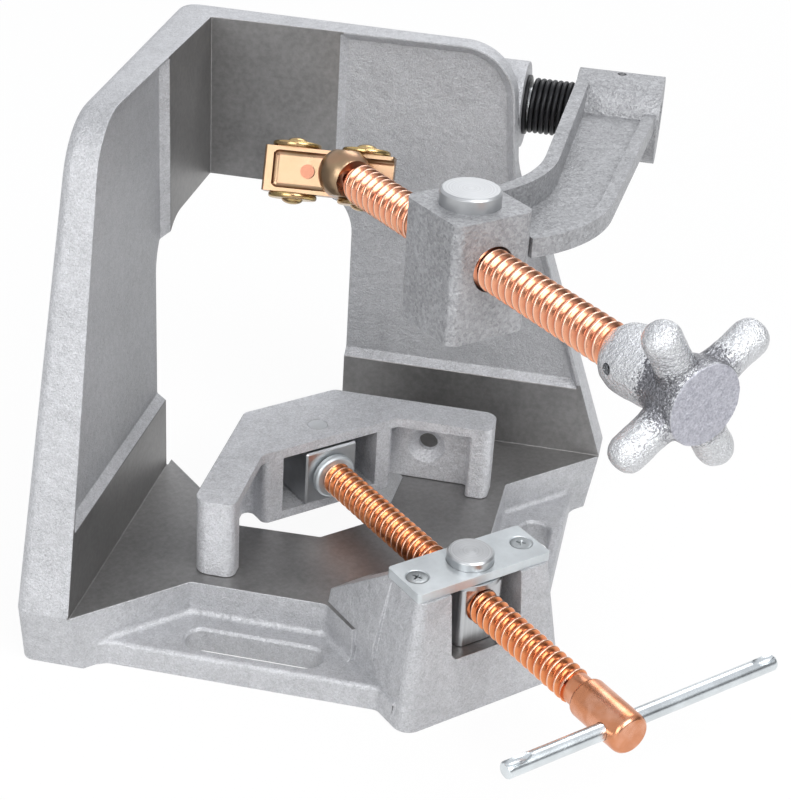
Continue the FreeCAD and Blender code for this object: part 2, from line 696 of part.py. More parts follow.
def housing_corner_y():
    inner = JAW_GAP + JAW_ARM_WIDTH
    return CORNER_Y - (inner * ROOT2 + HOUSING_HALF + 1.5)


def jaw_hole():
    """A countersunk hole through an arm's web, sunk from the inner side."""
    face = corner_point(JAW_HOLE_ALONG, JAW_GAP, LOWER_Z)
    inward = VEC(-1, -1, 0).normalize()
    sink = (JAW_HOLE_SINK_D - JAW_HOLE_D) / 2
    profile = [(-1, JAW_HOLE_D / 2), (JAW_WEB - sink, JAW_HOLE_D / 2), (JAW_WEB, JAW_HOLE_SINK_D / 2),
               (JAW_WEB + 2, JAW_HOLE_SINK_D / 2)]
    return turned(profile, face, inward)


def arc_from(start, end, heading):
    """An arc from start to end that leaves start along a heading."""
    chord = end - start
    side = VEC(0, 0, 1).cross(heading)
    height = side.dot(chord)
    radius = chord.Length ** 2 / (2 * height)
    centre = start + side * radius
    middle = (start + end) * 0.5 - centre
    crown = centre + middle.normalize() * abs(radius)
    return Part.Arc(start, crown, end).toShape(), centre, radius


def edge_strip(line_start, bend, end, width, bottom, top):
    """A band of a width along a straight edge that runs on into an arc."""
    heading = (bend - line_start).normalize()
    side = VEC(0, 0, 1).cross(heading)
    arc, centre, radius = arc_from(bend, end, heading)
    sign = 1 if width > 0 else -1
    inset = side * width
    spoke = (end - centre).normalize()
    inner_radius = abs(radius) - width * (1 if radius > 0 else -1)
    inner_end = centre + spoke * inner_radius
    inner_bend = bend + inset
    half = ((inner_bend - centre).normalize() + spoke).normalize()
    back = Part.Arc(inner_end, centre + half * inner_radius, inner_bend).toShape()
    edges = [Part.LineSegment(line_start, bend).toShape(), arc,
             Part.LineSegment(end, inner_end).toShape(), back,
             Part.LineSegment(inner_bend, line_start + inset).toShape(),
             Part.LineSegment(line_start + inset, line_start).toShape()]
    face = Part.Face(Part.Wire(edges))
    face.translate(VEC(0, 0, bottom))
    return face.extrude(VEC(0, 0, top - bottom))


def swing_arm():
    back_start = corner_point(BOSS_START_U, -SHAFT_DEPTH)
    back_bend = corner_point(BOSS_START_U - 1.0, ARM_BACK_BEND_V)
    back_end = VEC(ARM_BLOCK_HALF, ARM_BLOCK_FRONT_Y + ARM_BLOCK_DEPTH - 3, 0)
    front_start = corner_point(BOSS_END_U, -SHAFT_DEPTH)
    front_bend = corner_point(BOSS_END_U - 9.0, ARM_FRONT_BEND_V)
    front_end = VEC(ARM_BLOCK_HALF, ARM_BLOCK_FRONT_Y + 0.5, 0)
    spine = edge_strip(back_start, back_bend, back_end, ARM_SPINE_T,
                       ARM_WEB_Z - ARM_SPINE_BELOW, ARM_WEB_Z + ARM_WEB_T + ARM_SPINE_ABOVE)
    lip = edge_strip(front_start, front_bend, front_end, -ARM_LIP_W,
                     ARM_WEB_Z, ARM_WEB_Z + ARM_WEB_T + ARM_LIP_H)
    back_arc = arc_from(back_bend, back_end, (back_bend - back_start).normalize())[0]
    front_arc = arc_from(front_bend, front_end, (front_bend - front_start).normalize())[0]
    edges = [Part.LineSegment(back_start, back_bend).toShape(), back_arc,
             Part.LineSegment(back_end, front_end).toShape(), front_arc,
             Part.LineSegment(front_bend, front_start).toShape(),
             Part.LineSegment(front_start, back_start).toShape()]
    face = Part.Face(Part.Wire(Part.__sortEdges__(edges)))
    face.translate(VEC(0, 0, ARM_WEB_Z))
    web = face.extrude(VEC(0, 0, ARM_WEB_T))
    axis_start = corner_point(BOSS_START_U, -SHAFT_DEPTH, SHAFT_Z)
    axis_end = corner_point(BOSS_END_U, -SHAFT_DEPTH, SHAFT_Z)
    boss = rod(BOSS_D / 2, axis_start, axis_end)
    block_back = ARM_BLOCK_FRONT_Y + ARM_BLOCK_DEPTH
    block = slab([(-ARM_BLOCK_HALF, ARM_BLOCK_FRONT_Y, 4), (ARM_BLOCK_HALF, ARM_BLOCK_FRONT_Y, 4),
                  (ARM_BLOCK_HALF, block_back, 4), (-ARM_BLOCK_HALF, block_back, 4)],
                 ARM_BLOCK_BOTTOM, ARM_TOP)
    body = web.fuse([spine, lip, boss, block])
    along = (axis_end - axis_start).normalize()
    bore = rod(SHAFT_D / 2 + RUN, axis_start - along * 2, axis_end + along * 2)
    pocket = Part.makeCylinder(BARREL_D / 2 + RUN, ARM_TOP - ARM_BLOCK_BOTTOM,
                               VEC(0, BARREL_Y, ARM_BLOCK_BOTTOM + BARREL_SEAT))
    screw_way = rod(BARREL_SCREW_HOLE_D / 2, VEC(0, ARM_BLOCK_FRONT_Y - 5, UPPER_Z),
                    VEC(0, block_back + 5, UPPER_Z))
    body = body.cut([bore, pocket, screw_way, roll_pin_hole()])
    return body.removeSplitter()


def roll_pin_middle():
    return corner_point((BOSS_START_U + BOSS_END_U) / 2, -SHAFT_DEPTH, SHAFT_Z)


def roll_pin_hole():
    middle = roll_pin_middle()
    return Part.makeCylinder(ROLL_PIN_D / 2 + 0.01, BOSS_D / 2 + ROLL_PIN_LENGTH / 2 + 5,
                             middle - VEC(0, 0, ROLL_PIN_LENGTH / 2))


def roll_pin():
    middle = roll_pin_middle()
    return Part.makeCylinder(ROLL_PIN_D / 2, ROLL_PIN_LENGTH, middle - VEC(0, 0, ROLL_PIN_LENGTH / 2))


def arm_shaft():
    start = LUG_END_U - LUG_LENGTH - RING_T - 3.5
    end = BOSS_END_U - 1.0
    radius = SHAFT_D / 2
    groove = LUG_END_U - LUG_LENGTH - RING_T - 0.2
    profile = [(start, radius - 1), (start + 1, radius), (groove, radius), (groove, radius - 1.2),
               (groove + RING_T + 0.1, radius - 1.2), (groove + RING_T + 0.1, radius),
               (end - 1, radius), (end, radius - 1)]
    shaft = turned(profile, VEC(0, SHAFT_DEPTH, SHAFT_Z), VEC(1, 0, 0))
    return to_corner(shaft).cut(roll_pin_hole())


def shaft_ring():
    groove = LUG_END_U - LUG_LENGTH - RING_T - 0.2
    ring = rod(RING_D / 2, VEC(groove + 0.05, SHAFT_DEPTH, SHAFT_Z), VEC(groove + RING_T + 0.05, SHAFT_DEPTH, SHAFT_Z))
    ring = ring.cut(rod(SHAFT_D / 2 - 1.2 + 0.01, VEC(groove - 1, SHAFT_DEPTH, SHAFT_Z),
                        VEC(groove + RING_T + 1, SHAFT_DEPTH, SHAFT_Z)))
    gap = box(groove - 1, groove + RING_T + 1, SHAFT_DEPTH + 2, SHAFT_DEPTH + RING_D, SHAFT_Z - 3.5, SHAFT_Z + 3.5)
    return to_corner(ring.cut(gap))


def shaft_washer():
    start = LUG_END_U + 0.1
    disc = rod(WASHER_D / 2, VEC(start, SHAFT_DEPTH, SHAFT_Z), VEC(start + WASHER_T, SHAFT_DEPTH, SHAFT_Z))
    return to_corner(disc.cut(rod(SHAFT_D / 2 + RUN, VEC(start - 1, SHAFT_DEPTH, SHAFT_Z),
                                  VEC(start + WASHER_T + 1, SHAFT_DEPTH, SHAFT_Z))))


def arm_spring():
    """The coil, ruled between six-sided sections round the shaft."""
    radius = (SPRING_OD - SPRING_WIRE) / 2
    room = ARM_GAP - WASHER_T - 0.2
    height = room - SPRING_WIRE - 0.4
    steps = int(height / SPRING_PITCH * SPRING_STEPS)
    sections = []
    for step in range(steps + 1):
        angle = math.tau * step / SPRING_STEPS
        out = VEC(math.cos(angle), math.sin(angle), 0)
        centre = out * radius + VEC(0, 0, height * step / steps)
        ring = [centre + out * (SPRING_WIRE / 2 * math.cos(turn)) + VEC(0, 0, SPRING_WIRE / 2 * math.sin(turn))
                for turn in [math.radians(60 * side) for side in range(6)]]
        sections.append(Part.makePolygon(ring + ring[:1]))
    coil = Part.makeLoft(sections, True, True)
    start = LUG_END_U + 0.1 + WASHER_T + 0.2 + SPRING_WIRE / 2
    coil.Placement = FreeCAD.Placement(VEC(start, SHAFT_DEPTH, SHAFT_Z),
                                       FreeCAD.Rotation(VEC(0, 0, 1), VEC(1, 0, 0)))
    return to_corner(coil)


def barrel_nut():
    bottom = ARM_BLOCK_BOTTOM + BARREL_SEAT + 0.1
    top = ARM_TOP + BARREL_PROUD
    barrel = Part.makeCylinder(BARREL_D / 2, top - bottom, VEC(0, BARREL_Y, bottom))
    rims = [e for e in barrel.Edges if e.Curve.TypeId == "Part::GeomCircle"]
    barrel = barrel.makeChamfer(0.9, rims)
    return barrel.cut(rod(UPPER_SCREW_D / 2 + RUN, VEC(0, -30, UPPER_Z), VEC(0, 60, UPPER_Z)))


def upper_neck_end():
    return SHOE_Y + 3.1


def upper_spindle():
    thread_end = SHOE_Y - UPPER_THREAD_GAP
    knob_seat = KNOB_BACK_Y - KNOB_BORE_DEPTH + 0.5
    screw = UPPER_SCREW_D / 2
    profile = [(knob_seat, screw - 0.6), (UPPER_THREAD_FRONT_Y, screw - 0.6), (UPPER_THREAD_FRONT_Y, screw),
               (thread_end - 1.5, screw), (thread_end, screw - 1.5), (thread_end, UPPER_NECK_D / 2)]
    profile += neck_groove(upper_neck_end(), UPPER_NECK_D)
    spindle = turned(profile, VEC(0, 0, UPPER_Z), VEC(0, 1, 0))
    return spindle.cut(knob_pin(RUN))


def knob_pin(spare=0.0):
    y = KNOB_BACK_Y - 8.0
    length = KNOB_HUB_R - 1.5
    return rod(KNOB_PIN_D / 2 + spare, VEC(-length - spare, y, UPPER_Z), VEC(length + spare, y, UPPER_Z))


def star_knob():
    back = 0.0
    profile = [(0.0, 9.0), (1.6, 11.0), (5.0, KNOB_HUB_R), (12.0, KNOB_HUB_R - 0.2),
               (20.0, KNOB_WAIST_R), (26.0, KNOB_WAIST_R + 0.6), (32.0, KNOB_FACE_R - 0.8),
               (38.0, KNOB_FACE_R), (KNOB_LENGTH - 1.2, KNOB_FACE_R - 0.6), (KNOB_LENGTH, KNOB_FACE_R - 2.2)]
    hub = turned(profile, VEC(0, KNOB_BACK_Y, UPPER_Z), VEC(0, -1, 0))
    prongs = []
    for quarter in range(4):
        angle = math.radians(PRONG_TURN + 90 * quarter)
        out = VEC(math.cos(angle), 0, math.sin(angle))
        root = VEC(0, PRONG_Y, UPPER_Z)
        profile = [(0.0, PRONG_ROOT_R), (PRONG_REACH, PRONG_TIP_R)]
        profile += [(PRONG_REACH + PRONG_TIP_R * math.sin(math.radians(rise)),
                     PRONG_TIP_R * math.cos(math.radians(rise))) for rise in (25, 50, 75)]
        prongs.append(turned(profile, root, out))
    knob = hub.fuse(prongs)
    bore = rod(UPPER_SCREW_D / 2 - 0.6 + 0.01, VEC(0, KNOB_BACK_Y - KNOB_BORE_DEPTH, UPPER_Z),
               VEC(0, KNOB_BACK_Y + 5, UPPER_Z))
    mouth = rod(UPPER_SCREW_D / 2 + RUN, VEC(0, UPPER_THREAD_FRONT_Y - 0.2, UPPER_Z),
                VEC(0, KNOB_BACK_Y + 5, UPPER_Z))
    pin_y = KNOB_BACK_Y - 8.0
    pin_way = rod(KNOB_PIN_D / 2 + 0.01, VEC(-KNOB_HUB_R - 5, pin_y, UPPER_Z), VEC(KNOB_HUB_R - 1.4, pin_y, UPPER_Z))
    return knob.cut([bore, mouth, pin_way]).removeSplitter()


def shoe_place(shape):
    """Sets a shape drawn about the swivel, bar along X, as the shoe rests."""
    placed = shape.copy()
    placed.rotate(VEC(0, 0, 0), VEC(1, 0, 0), SHOE_TILT)
    placed.rotate(VEC(0, 0, 0), VEC(0, 0, 1), SHOE_TURN)
    placed.translate(VEC(0, SHOE_Y, UPPER_Z))
    return placed


def shoe_bar():
    """The channel-faced bar behind the socket."""
    half_z = SHOE_HEIGHT / 2
    left = SHOE_SHIFT - SHOE_HALF
    right = SHOE_SHIFT + SHOE_HALF
    floor = SHOE_FRONT + SHOE_CHANNEL
    bar = box(left, right, SHOE_FRONT, SHOE_FRONT + SHOE_DEPTH, -half_z, half_z)
    uprights = [e for e in bar.Edges if e.BoundBox.ZLength > SHOE_HEIGHT - 1]
    bar = bar.makeFillet(1.2, uprights)
    channel = box(left + SHOE_END_T, right - SHOE_END_T, SHOE_FRONT - 5, floor,
                  -half_z + SHOE_LIP_T, half_z - SHOE_LIP_T)
    creases = [e for e in channel.Edges if e.BoundBox.YMin > floor - 0.1]
    return bar.cut(channel.makeFillet(1.4, creases))


def shoe_body():
    half_z = SHOE_HEIGHT / 2
    ball = Part.makeSphere(SOCKET_R).common(box(-20, 20, -20, 20, -half_z, half_z))
    saddle = rod(SOCKET_R - 2.0, VEC(0, 0, 0), VEC(0, SHOE_FRONT + SHOE_CHANNEL + 1, 0))
    body = shoe_bar().fuse([ball, saddle.common(box(-20, 20, -20, 20, -half_z, half_z))])
    cuts = []
    for side in (-1, 1):
        x = SHOE_SHIFT + side * DISC_U
        cuts.append(Part.makeCylinder(RIVET_D / 2 + 0.01, SHOE_HEIGHT + 2, VEC(x, SHOE_FRONT + DISC_BACK, -half_z - 1)))
    x = SHOE_SHIFT - STUD_U
    cuts.append(rod(STUD_D / 2 + 0.01, VEC(x, SHOE_FRONT - 3, 0), VEC(x, SHOE_FRONT + SHOE_DEPTH + 1, 0)))
    body = shoe_place(body.cut(cuts))
    return body.cut([socket_room(), socket_mouth()]).removeSplitter()


def socket_room():
    """The upright pocket round the swivel barrel and the neck's sideways sweep."""
    spare = 0.15
    tall = SWIVEL_BARREL_HEIGHT / 2 + spare
    room = Part.makeCylinder(SWIVEL_BARREL_D / 2 + spare, 2 * tall, VEC(0, SHOE_Y, UPPER_Z - tall))
    neck = UPPER_NECK_D / 2 + 0.35
    reach = SOCKET_R + 2
    centre = VEC(0, SHOE_Y, UPPER_Z)
    start = VEC(0, -reach, 0)
    turn = math.radians(SHOE_SWIVEL)
    end = VEC(-reach * math.sin(turn), -reach * math.cos(turn), 0)
    drop = VEC(0, 0, neck)
    fan = Part.Face(Part.makePolygon([centre - drop, centre + start - drop, centre + end - drop, centre - drop]))
    parts = [rod(neck, centre, centre + start), rod(neck, centre, centre + end), fan.extrude(drop * 2)]
    return room.fuse(parts)


def socket_mouth():
    depth = SOCKET_R - SOCKET_MOUTH_START + 1
    throat = UPPER_NECK_D / 2 + 1.0
    base = VEC(0, SHOE_Y - SOCKET_MOUTH_START, UPPER_Z)
    cone = Part.makeCone(throat, SOCKET_MOUTH_R, 1.2, base, VEC(0, -1, 0))
    return cone.fuse(rod(SOCKET_MOUTH_R, base - VEC(0, 1.2, 0), base - VEC(0, depth, 0)))


def swivel_barrel():
    tall = SWIVEL_BARREL_HEIGHT / 2
    barrel = Part.makeCylinder(SWIVEL_BARREL_D / 2, 2 * tall, VEC(0, SHOE_Y, UPPER_Z - tall))
    neck = rod(UPPER_NECK_D / 2 + RUN, VEC(0, SHOE_Y - SWIVEL_BARREL_D, UPPER_Z),
               VEC(0, upper_neck_end() + 0.2, UPPER_Z))
    return barrel.cut([neck, upper_neck_pin(0.01)])


def upper_neck_pin(spare=0.0):
    y = upper_neck_end() - 3.1
    z = UPPER_Z + neck_pin_offset(UPPER_NECK_D)
    half = SWIVEL_BARREL_D / 2 - 0.4 + spare
    return rod(NECK_PIN_D / 2 + spare, VEC(-half, y, z), VEC(half, y, z))


def shoe_disc(side, level):
    half_z = SHOE_HEIGHT / 2
    bottom = half_z if level > 0 else -half_z - DISC_T
    disc = Part.makeCylinder(DISC_D / 2, DISC_T, VEC(SHOE_SHIFT + side * DISC_U, SHOE_FRONT + DISC_BACK, bottom))
    rims = [e for e in disc.Edges if e.Curve.TypeId == "Part::GeomCircle"]
    disc = disc.makeChamfer(DISC_EDGE, rims)
    disc = disc.cut(Part.makeCylinder(RIVET_D / 2 + 0.01, DISC_T + 2, VEC(SHOE_SHIFT + side * DISC_U, SHOE_FRONT + DISC_BACK, bottom - 1)))
    return shoe_place(disc)


def shoe_rivet(side):
    half = SHOE_HEIGHT / 2 + DISC_T
    head = RIVET_HEAD_D / 2
    arc = [(half + RIVET_HEAD_H * math.sin(math.radians(a)), head * math.cos(math.radians(a)))
           for a in (0, 22.5, 45, 67.5)]
    profile = [(-d, r) for d, r in reversed(arc)] + [(-half, RIVET_D / 2), (half, RIVET_D / 2)] + arc
    rivet = turned(profile, VEC(SHOE_SHIFT + side * DISC_U, SHOE_FRONT + DISC_BACK, 0), VEC(0, 0, 1))
    return shoe_place(rivet)


def shoe_stud():
    x = SHOE_SHIFT - STUD_U
    front = SHOE_FRONT + SHOE_CHANNEL - 0.6
    return shoe_place(rod(STUD_D / 2, VEC(x, front, 0), VEC(x, SHOE_FRONT + SHOE_DEPTH, 0)))


def pieces():
    nodes = {
        "frame_casting": frame_casting,
        "retaining_plate": retaining_plate,
        "plate_screws": plate_screws,
        "lower_spindle_nut": lower_nut,
        "lower_spindle": lower_spindle,
        "t_bar": t_bar,
        "jaw_swivel_block": jaw_swivel_block,
        "lower_neck_pin": lower_neck_pin,
        "thrust_collar": thrust_collar,
        "jaw_pivot_pin": jaw_pivot_pin,
        "movable_jaw": movable_jaw,
        "swing_arm": swing_arm,
        "arm_shaft": arm_shaft,
        "arm_roll_pin": roll_pin,
        "shaft_retaining_ring": shaft_ring,
        "shaft_washer": shaft_washer,
        "arm_spring": arm_spring,
        "upper_spindle_nut": barrel_nut,
        "upper_spindle": upper_spindle,
        "star_knob": star_knob,
        "knob_pin": knob_pin,
        "swivel_barrel": swivel_barrel,
        "upper_neck_pin": upper_neck_pin,
        "shoe_body": shoe_body,
        "shoe_stud": shoe_stud,
    }
    made = {name: make() for name, make in nodes.items()}
    for side, name in ((-1, "left"), (1, "right")):
        made["shoe_rivet_" + name] = shoe_rivet(side)
        made["shoe_disc_top_" + name] = shoe_disc(side, 1)
        made["shoe_disc_bottom_" + name] = shoe_disc(side, -1)
    return made


def main():
    os.makedirs("parts", exist_ok=True)
    for name, shape in pieces().items():
        shape.exportStep("parts/" + name + ".step")
        print(name, shape.isValid(), len(shape.Solids), round(shape.Volume / 1000, 2))


main()
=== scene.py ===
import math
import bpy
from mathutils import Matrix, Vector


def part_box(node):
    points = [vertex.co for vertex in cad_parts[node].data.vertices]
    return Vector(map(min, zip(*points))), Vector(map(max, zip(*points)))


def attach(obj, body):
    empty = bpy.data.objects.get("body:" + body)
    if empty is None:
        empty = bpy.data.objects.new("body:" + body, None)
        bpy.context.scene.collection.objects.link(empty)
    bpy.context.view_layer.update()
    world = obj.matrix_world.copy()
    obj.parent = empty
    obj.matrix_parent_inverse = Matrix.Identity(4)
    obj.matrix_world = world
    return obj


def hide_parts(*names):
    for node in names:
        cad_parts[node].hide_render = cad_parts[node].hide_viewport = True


bl_info = {
    "name": "Corner clamp dressing",
    "version": (1, 0, 0),
    "blender": (4, 5, 0),
    "location": "3D View > Sidebar > Corner clamp",
    "description": "Adds threads, cast and milled surfaces and plated finishes to the packed corner clamp",
    "category": "Object",
}

import bpy
from mathutils import Matrix, Vector

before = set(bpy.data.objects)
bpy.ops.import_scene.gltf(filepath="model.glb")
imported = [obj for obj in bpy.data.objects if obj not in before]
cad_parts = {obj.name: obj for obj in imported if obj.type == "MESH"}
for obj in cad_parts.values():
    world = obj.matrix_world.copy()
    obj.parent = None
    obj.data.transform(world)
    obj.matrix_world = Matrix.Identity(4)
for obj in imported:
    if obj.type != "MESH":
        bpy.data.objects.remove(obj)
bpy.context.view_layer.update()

MM = 0.001
DIAGONAL = math.sqrt(0.5)
CORNER_Y = 212.5 * MM
FLOOR_Z = 26 * MM
LOWER_Z = 43 * MM
UPPER_Z = 180.7 * MM
LOWER_RADIUS = 7 * MM
UPPER_RADIUS = 8 * MM
UPPER_NUT_Y = 18.25 * MM
KNOB_FACE_Y = -110.3 * MM
ACROSS = Vector((1, 0, 0))
FEED = Vector((0, 1, 0))
UP = Vector((0, 0, 1))
RIGHT_WALL = Vector((DIAGONAL, -DIAGONAL, 0))
LEFT_WALL = Vector((-DIAGONAL, -DIAGONAL, 0))
SHOE_Y = 101.5 * MM
SHOE_TURN = math.radians(-41)
SHOE_TILT = math.radians(-26)
SHOE_PLACE = (Matrix.Translation((0, SHOE_Y, UPPER_Z)) @ Matrix.Rotation(SHOE_TURN, 4, "Z")
              @ Matrix.Rotation(SHOE_TILT, 4, "X"))

# Darker iron for the frame's inner panels: partly a duller cast skin, partly painted shade.
DULL_SHADED_IRON = (0.245, 0.25, 0.258)
# Painted highlight colour for the thread crests.
CREST_HIGHLIGHT_COPPER = (0.95, 0.68, 0.56)
DISC_YELLOW = (0.56, 0.41, 0.18)
STUD_COPPER = (0.44, 0.20, 0.13)
HEAD_COPPER = (0.65, 0.27, 0.14)
SHOE_BLUSH = (0.46, 0.26, 0.17)
DISC_BLUSH = (0.46, 0.27, 0.17)
HEAD_BLUSH = (0.86, 0.47, 0.33)

STAGE_MIDDLE = Vector((0, 0.08, 0.1))
CAMERA_PLACE = Vector((-0.3581, -0.4542, 0.4429))
CAMERA_RIGHT = Vector((0.8347, -0.5481, 0.0551))
CAMERA_BACK = Vector((-0.5033, -0.7182, 0.4807))
CAMERA_LENS = 80.56
FILM_WIDTH = 36


class ClampSizes(bpy.types.PropertyGroup):
    """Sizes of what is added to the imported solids."""
    pitch: bpy.props.FloatProperty(
        name="Thread pitch", description="Advance of a spindle in one turn", default=4 * MM, unit="LENGTH")
    thread_depth: bpy.props.FloatProperty(
        name="Thread depth", description="From crest to root of the spindle threads", default=1.75 * MM,
        unit="LENGTH")
    cast_round: bpy.props.FloatProperty(
        name="Cast edge", description="Rounding on the edges of the castings", default=0.9 * MM,
        unit="LENGTH")
    frame_round: bpy.props.FloatProperty(
        name="Frame edge", description="Rounding on the sharp edges of the frame", default=0.42 * MM,
        unit="LENGTH")
    machined_round: bpy.props.FloatProperty(
        name="Machined edge", description="Broken edge on the turned and milled pieces", default=0.35 * MM,
        unit="LENGTH")
    knob_lumps: bpy.props.FloatProperty(
        name="Knob unevenness", description="Height of the cast lumps on the star knob", default=0.45 * MM,
        unit="LENGTH")


class ClampColours(bpy.types.PropertyGroup):
    """Colours of the finishes."""
    cast: bpy.props.FloatVectorProperty(
        name="Casting", description="Blasted cast surface", subtype="COLOR", default=(0.49, 0.495, 0.512))
    milled: bpy.props.FloatVectorProperty(
        name="Milled faces", description="Milled working faces", subtype="COLOR",
        default=(0.235, 0.232, 0.23))
    copper: bpy.props.FloatVectorProperty(
        name="Lower spindle", description="Copper plating on the lower spindle", subtype="COLOR",
        default=(0.82, 0.29, 0.12))
    upper_copper: bpy.props.FloatVectorProperty(
        name="Upper spindle", description="Copper plating on the upper spindle", subtype="COLOR",
        default=(0.84, 0.38, 0.23))
    zinc: bpy.props.FloatVectorProperty(
        name="Bright zinc", description="Plating on the plate, screws and bar", subtype="COLOR",
        default=(0.68, 0.72, 0.74))
    yellow: bpy.props.FloatVectorProperty(
        name="Yellow zinc", description="Passivated zinc on the shoe", subtype="COLOR",
        default=(0.36, 0.25, 0.155))
    steel: bpy.props.FloatVectorProperty(
        name="Turned steel", description="Bare turned or ground steel", subtype="COLOR",
        default=(0.50, 0.51, 0.52))
    knob: bpy.props.FloatVectorProperty(
        name="Star knob", description="Tumbled bright casting", subtype="COLOR", default=(0.68, 0.69, 0.71))
    black: bpy.props.FloatVectorProperty(
        name="Spring", description="Blackened spring steel", subtype="COLOR", default=(0.02, 0.02, 0.022))


class Flow:
    """A value in a material, on which Python's operators add Math nodes."""

    def __init__(self, paint, socket):
        self.paint = paint
        self.socket = socket

    def math(self, operation, *others, clamp=False):
        return self.paint.add("ShaderNodeMath", {"operation": operation, "use_clamp": clamp},
                              dict(enumerate((self,) + others)))

    def __add__(self, other):
        return self.math("ADD", other)

    __radd__ = __add__

    def __sub__(self, other):
        return self.math("SUBTRACT", other)

    def __rsub__(self, other):
        return self.math("MULTIPLY", -1.0).math("ADD", other)

    def __mul__(self, other):
        return self.math("MULTIPLY", other)

    __rmul__ = __mul__

    def below(self, edge, soft=0.2 * MM):
        """1 where the value is under the edge, 0 over it, with a soft step between."""
        return (self * (-1 / soft) + edge / soft).math("ADD", 0.5, clamp=True)

    def above(self, edge, soft=0.2 * MM):
        """1 where the value is over the edge, 0 under it."""
        return (self * (1 / soft) - edge / soft).math("ADD", 0.5, clamp=True)

    def near(self, value, reach):
        """1 within a reach of the value, 0 farther off."""
        return (self - value).math("ABSOLUTE").below(reach)

    def between(self, low, high):
        """Spreads low to high over 0 to 1."""
        return ((self - low) * (1 / (high - low))).math("ADD", 0.0, clamp=True)


class Paint:
    """A material under construction."""

    def __init__(self, name):
        self.material = bpy.data.materials.new(name)
        self.material.use_nodes = True
        self.tree = self.material.node_tree
        self.tree.nodes.clear()
        self.place = None

    def add(self, kind, settings=None, values=None, out=0):
        """Adds a node, sets it, feeds its sockets and returns one output."""
        node = self.tree.nodes.new(kind)
        for key, value in (settings or {}).items():
            setattr(node, key, value)
        for key, value in (values or {}).items():
            socket = node.inputs[key]
            if isinstance(value, Flow):
                self.tree.links.new(value.socket, socket)
            elif value is not None:
                socket.default_value = value
        return Flow(self, node.outputs[out]) if len(node.outputs) else node

    def spot(self):
        """The place on the object, in metres."""
        if self.place is None:
            self.place = self.add("ShaderNodeTexCoord", out="Object")
        return self.place

    def axes(self):
        """X, Y and Z of the place on the object."""
        return self.axes_of(self.spot())

    def axes_of(self, place):
        """X, Y and Z of a vector."""
        return [self.add("ShaderNodeSeparateXYZ", None, {0: place}, out=index) for index in range(3)]

    def facing(self, direction):
        """1 where the surface faces a direction, 0 where it is turned away."""
        normal = self.add("ShaderNodeTexCoord", out="Normal")
        aim = self.add("ShaderNodeVectorMath", {"operation": "DOT_PRODUCT"},
                       {0: normal, 1: tuple(direction)}, out="Value")
        return aim.above(0.75, 0.1)

    def stretched(self, scale, turn=(0, 0, 0)):
        """The place on the object, turned and scaled along each axis."""
        return self.add("ShaderNodeMapping", {"vector_type": "POINT"},
                        {"Vector": self.spot(), "Rotation": turn, "Scale": scale})

    def noise(self, scale, detail=3.0, rough=0.55, vector=None):
        """Cloudy noise, with its scale in features to the metre."""
        return self.add("ShaderNodeTexNoise", None, {
            "Vector": vector or self.spot(), "Scale": scale, "Detail": detail, "Roughness": rough})

    def grains(self, scale, out="Distance"):
        """Cells like grains of sand, as distances or as one colour each."""
        return self.add("ShaderNodeTexVoronoi", {"feature": "F1"},
                        {"Vector": self.spot(), "Scale": scale}, out)

    def mix(self, share, first, second):
        """A colour between two colours."""
        colours = [(*c, 1) if not isinstance(c, Flow) and len(c) == 3 else c for c in (first, second)]
        return self.add("ShaderNodeMix", {"data_type": "RGBA"},
                        {0: share, 6: colours[0], 7: colours[1]}, out=2)

    def bump(self, height, distance, strength=1.0, under=None):
        """A normal that a height tilts, over another bump where one is given."""
        return self.add("ShaderNodeBump", None, {
            "Height": height, "Distance": distance, "Strength": strength, "Normal": under})

    def finish(self, colour, rough, metal, normal):
        """Closes the material with its shader and gives it back."""
        shader = self.add("ShaderNodeBsdfPrincipled", None, {
            "Base Color": colour, "Roughness": rough, "Metallic": metal, "Normal": normal})
        self.add("ShaderNodeOutputMaterial", None, {"Surface": shader})
        return self.material


def colours():
    return bpy.context.scene.clamp_colours


def sizes():
    return bpy.context.scene.clamp_sizes


def shade(colour, factor):
    """A colour made darker or lighter."""
    return tuple(min(1.0, channel * factor) for channel in colour)


def cast_surface(paint, colour, coarse=1.0, dull_and_shaded=None):
    """Colour, roughness and normal of blasted cast iron, coarser or finer in its grain, and darkened where
    a share is given, partly for a duller skin and partly as painted shade.
    """
    fine = paint.noise(2100 / coarse, rough=0.65)
    grit = paint.grains(1500 / coarse)
    speck = paint.axes_of(paint.grains(1750 / coarse ** 1.5, out="Color"))[0]
    pebble = paint.noise(270)
    wave = paint.noise(60, rough=0.5)
    stain = paint.noise(22, detail=4.0, rough=0.6)
    tone = (fine.between(0.38, 0.62) * 0.3 + speck * (0.34 * coarse - 0.1)
            + stain.between(0.32, 0.68) * 0.25 + pebble.between(0.35, 0.65) * 0.15)
    tint = paint.mix(tone, shade(colour, 0.78 - 0.1 * coarse), shade(colour, 1.16 + 0.14 * coarse))
    # Partly a duller skin, partly painted shade: the given share is darkened.
    if dull_and_shaded:
        tint = paint.mix(dull_and_shaded * 0.33, tint, DULL_SHADED_IRON)
    height = fine * 0.5 + grit * 0.3 + speck * 0.25
    normal = paint.bump(height, 0.42 * MM * coarse, strength=0.9)
    normal = paint.bump(pebble, 0.9 * MM, strength=0.55, under=normal)
    normal = paint.bump(wave, 1.6 * MM, strength=0.6, under=normal)
    rough = stain.between(0.3, 0.7) * 0.1 + fine * 0.12 + 0.38
    return tint, rough, normal


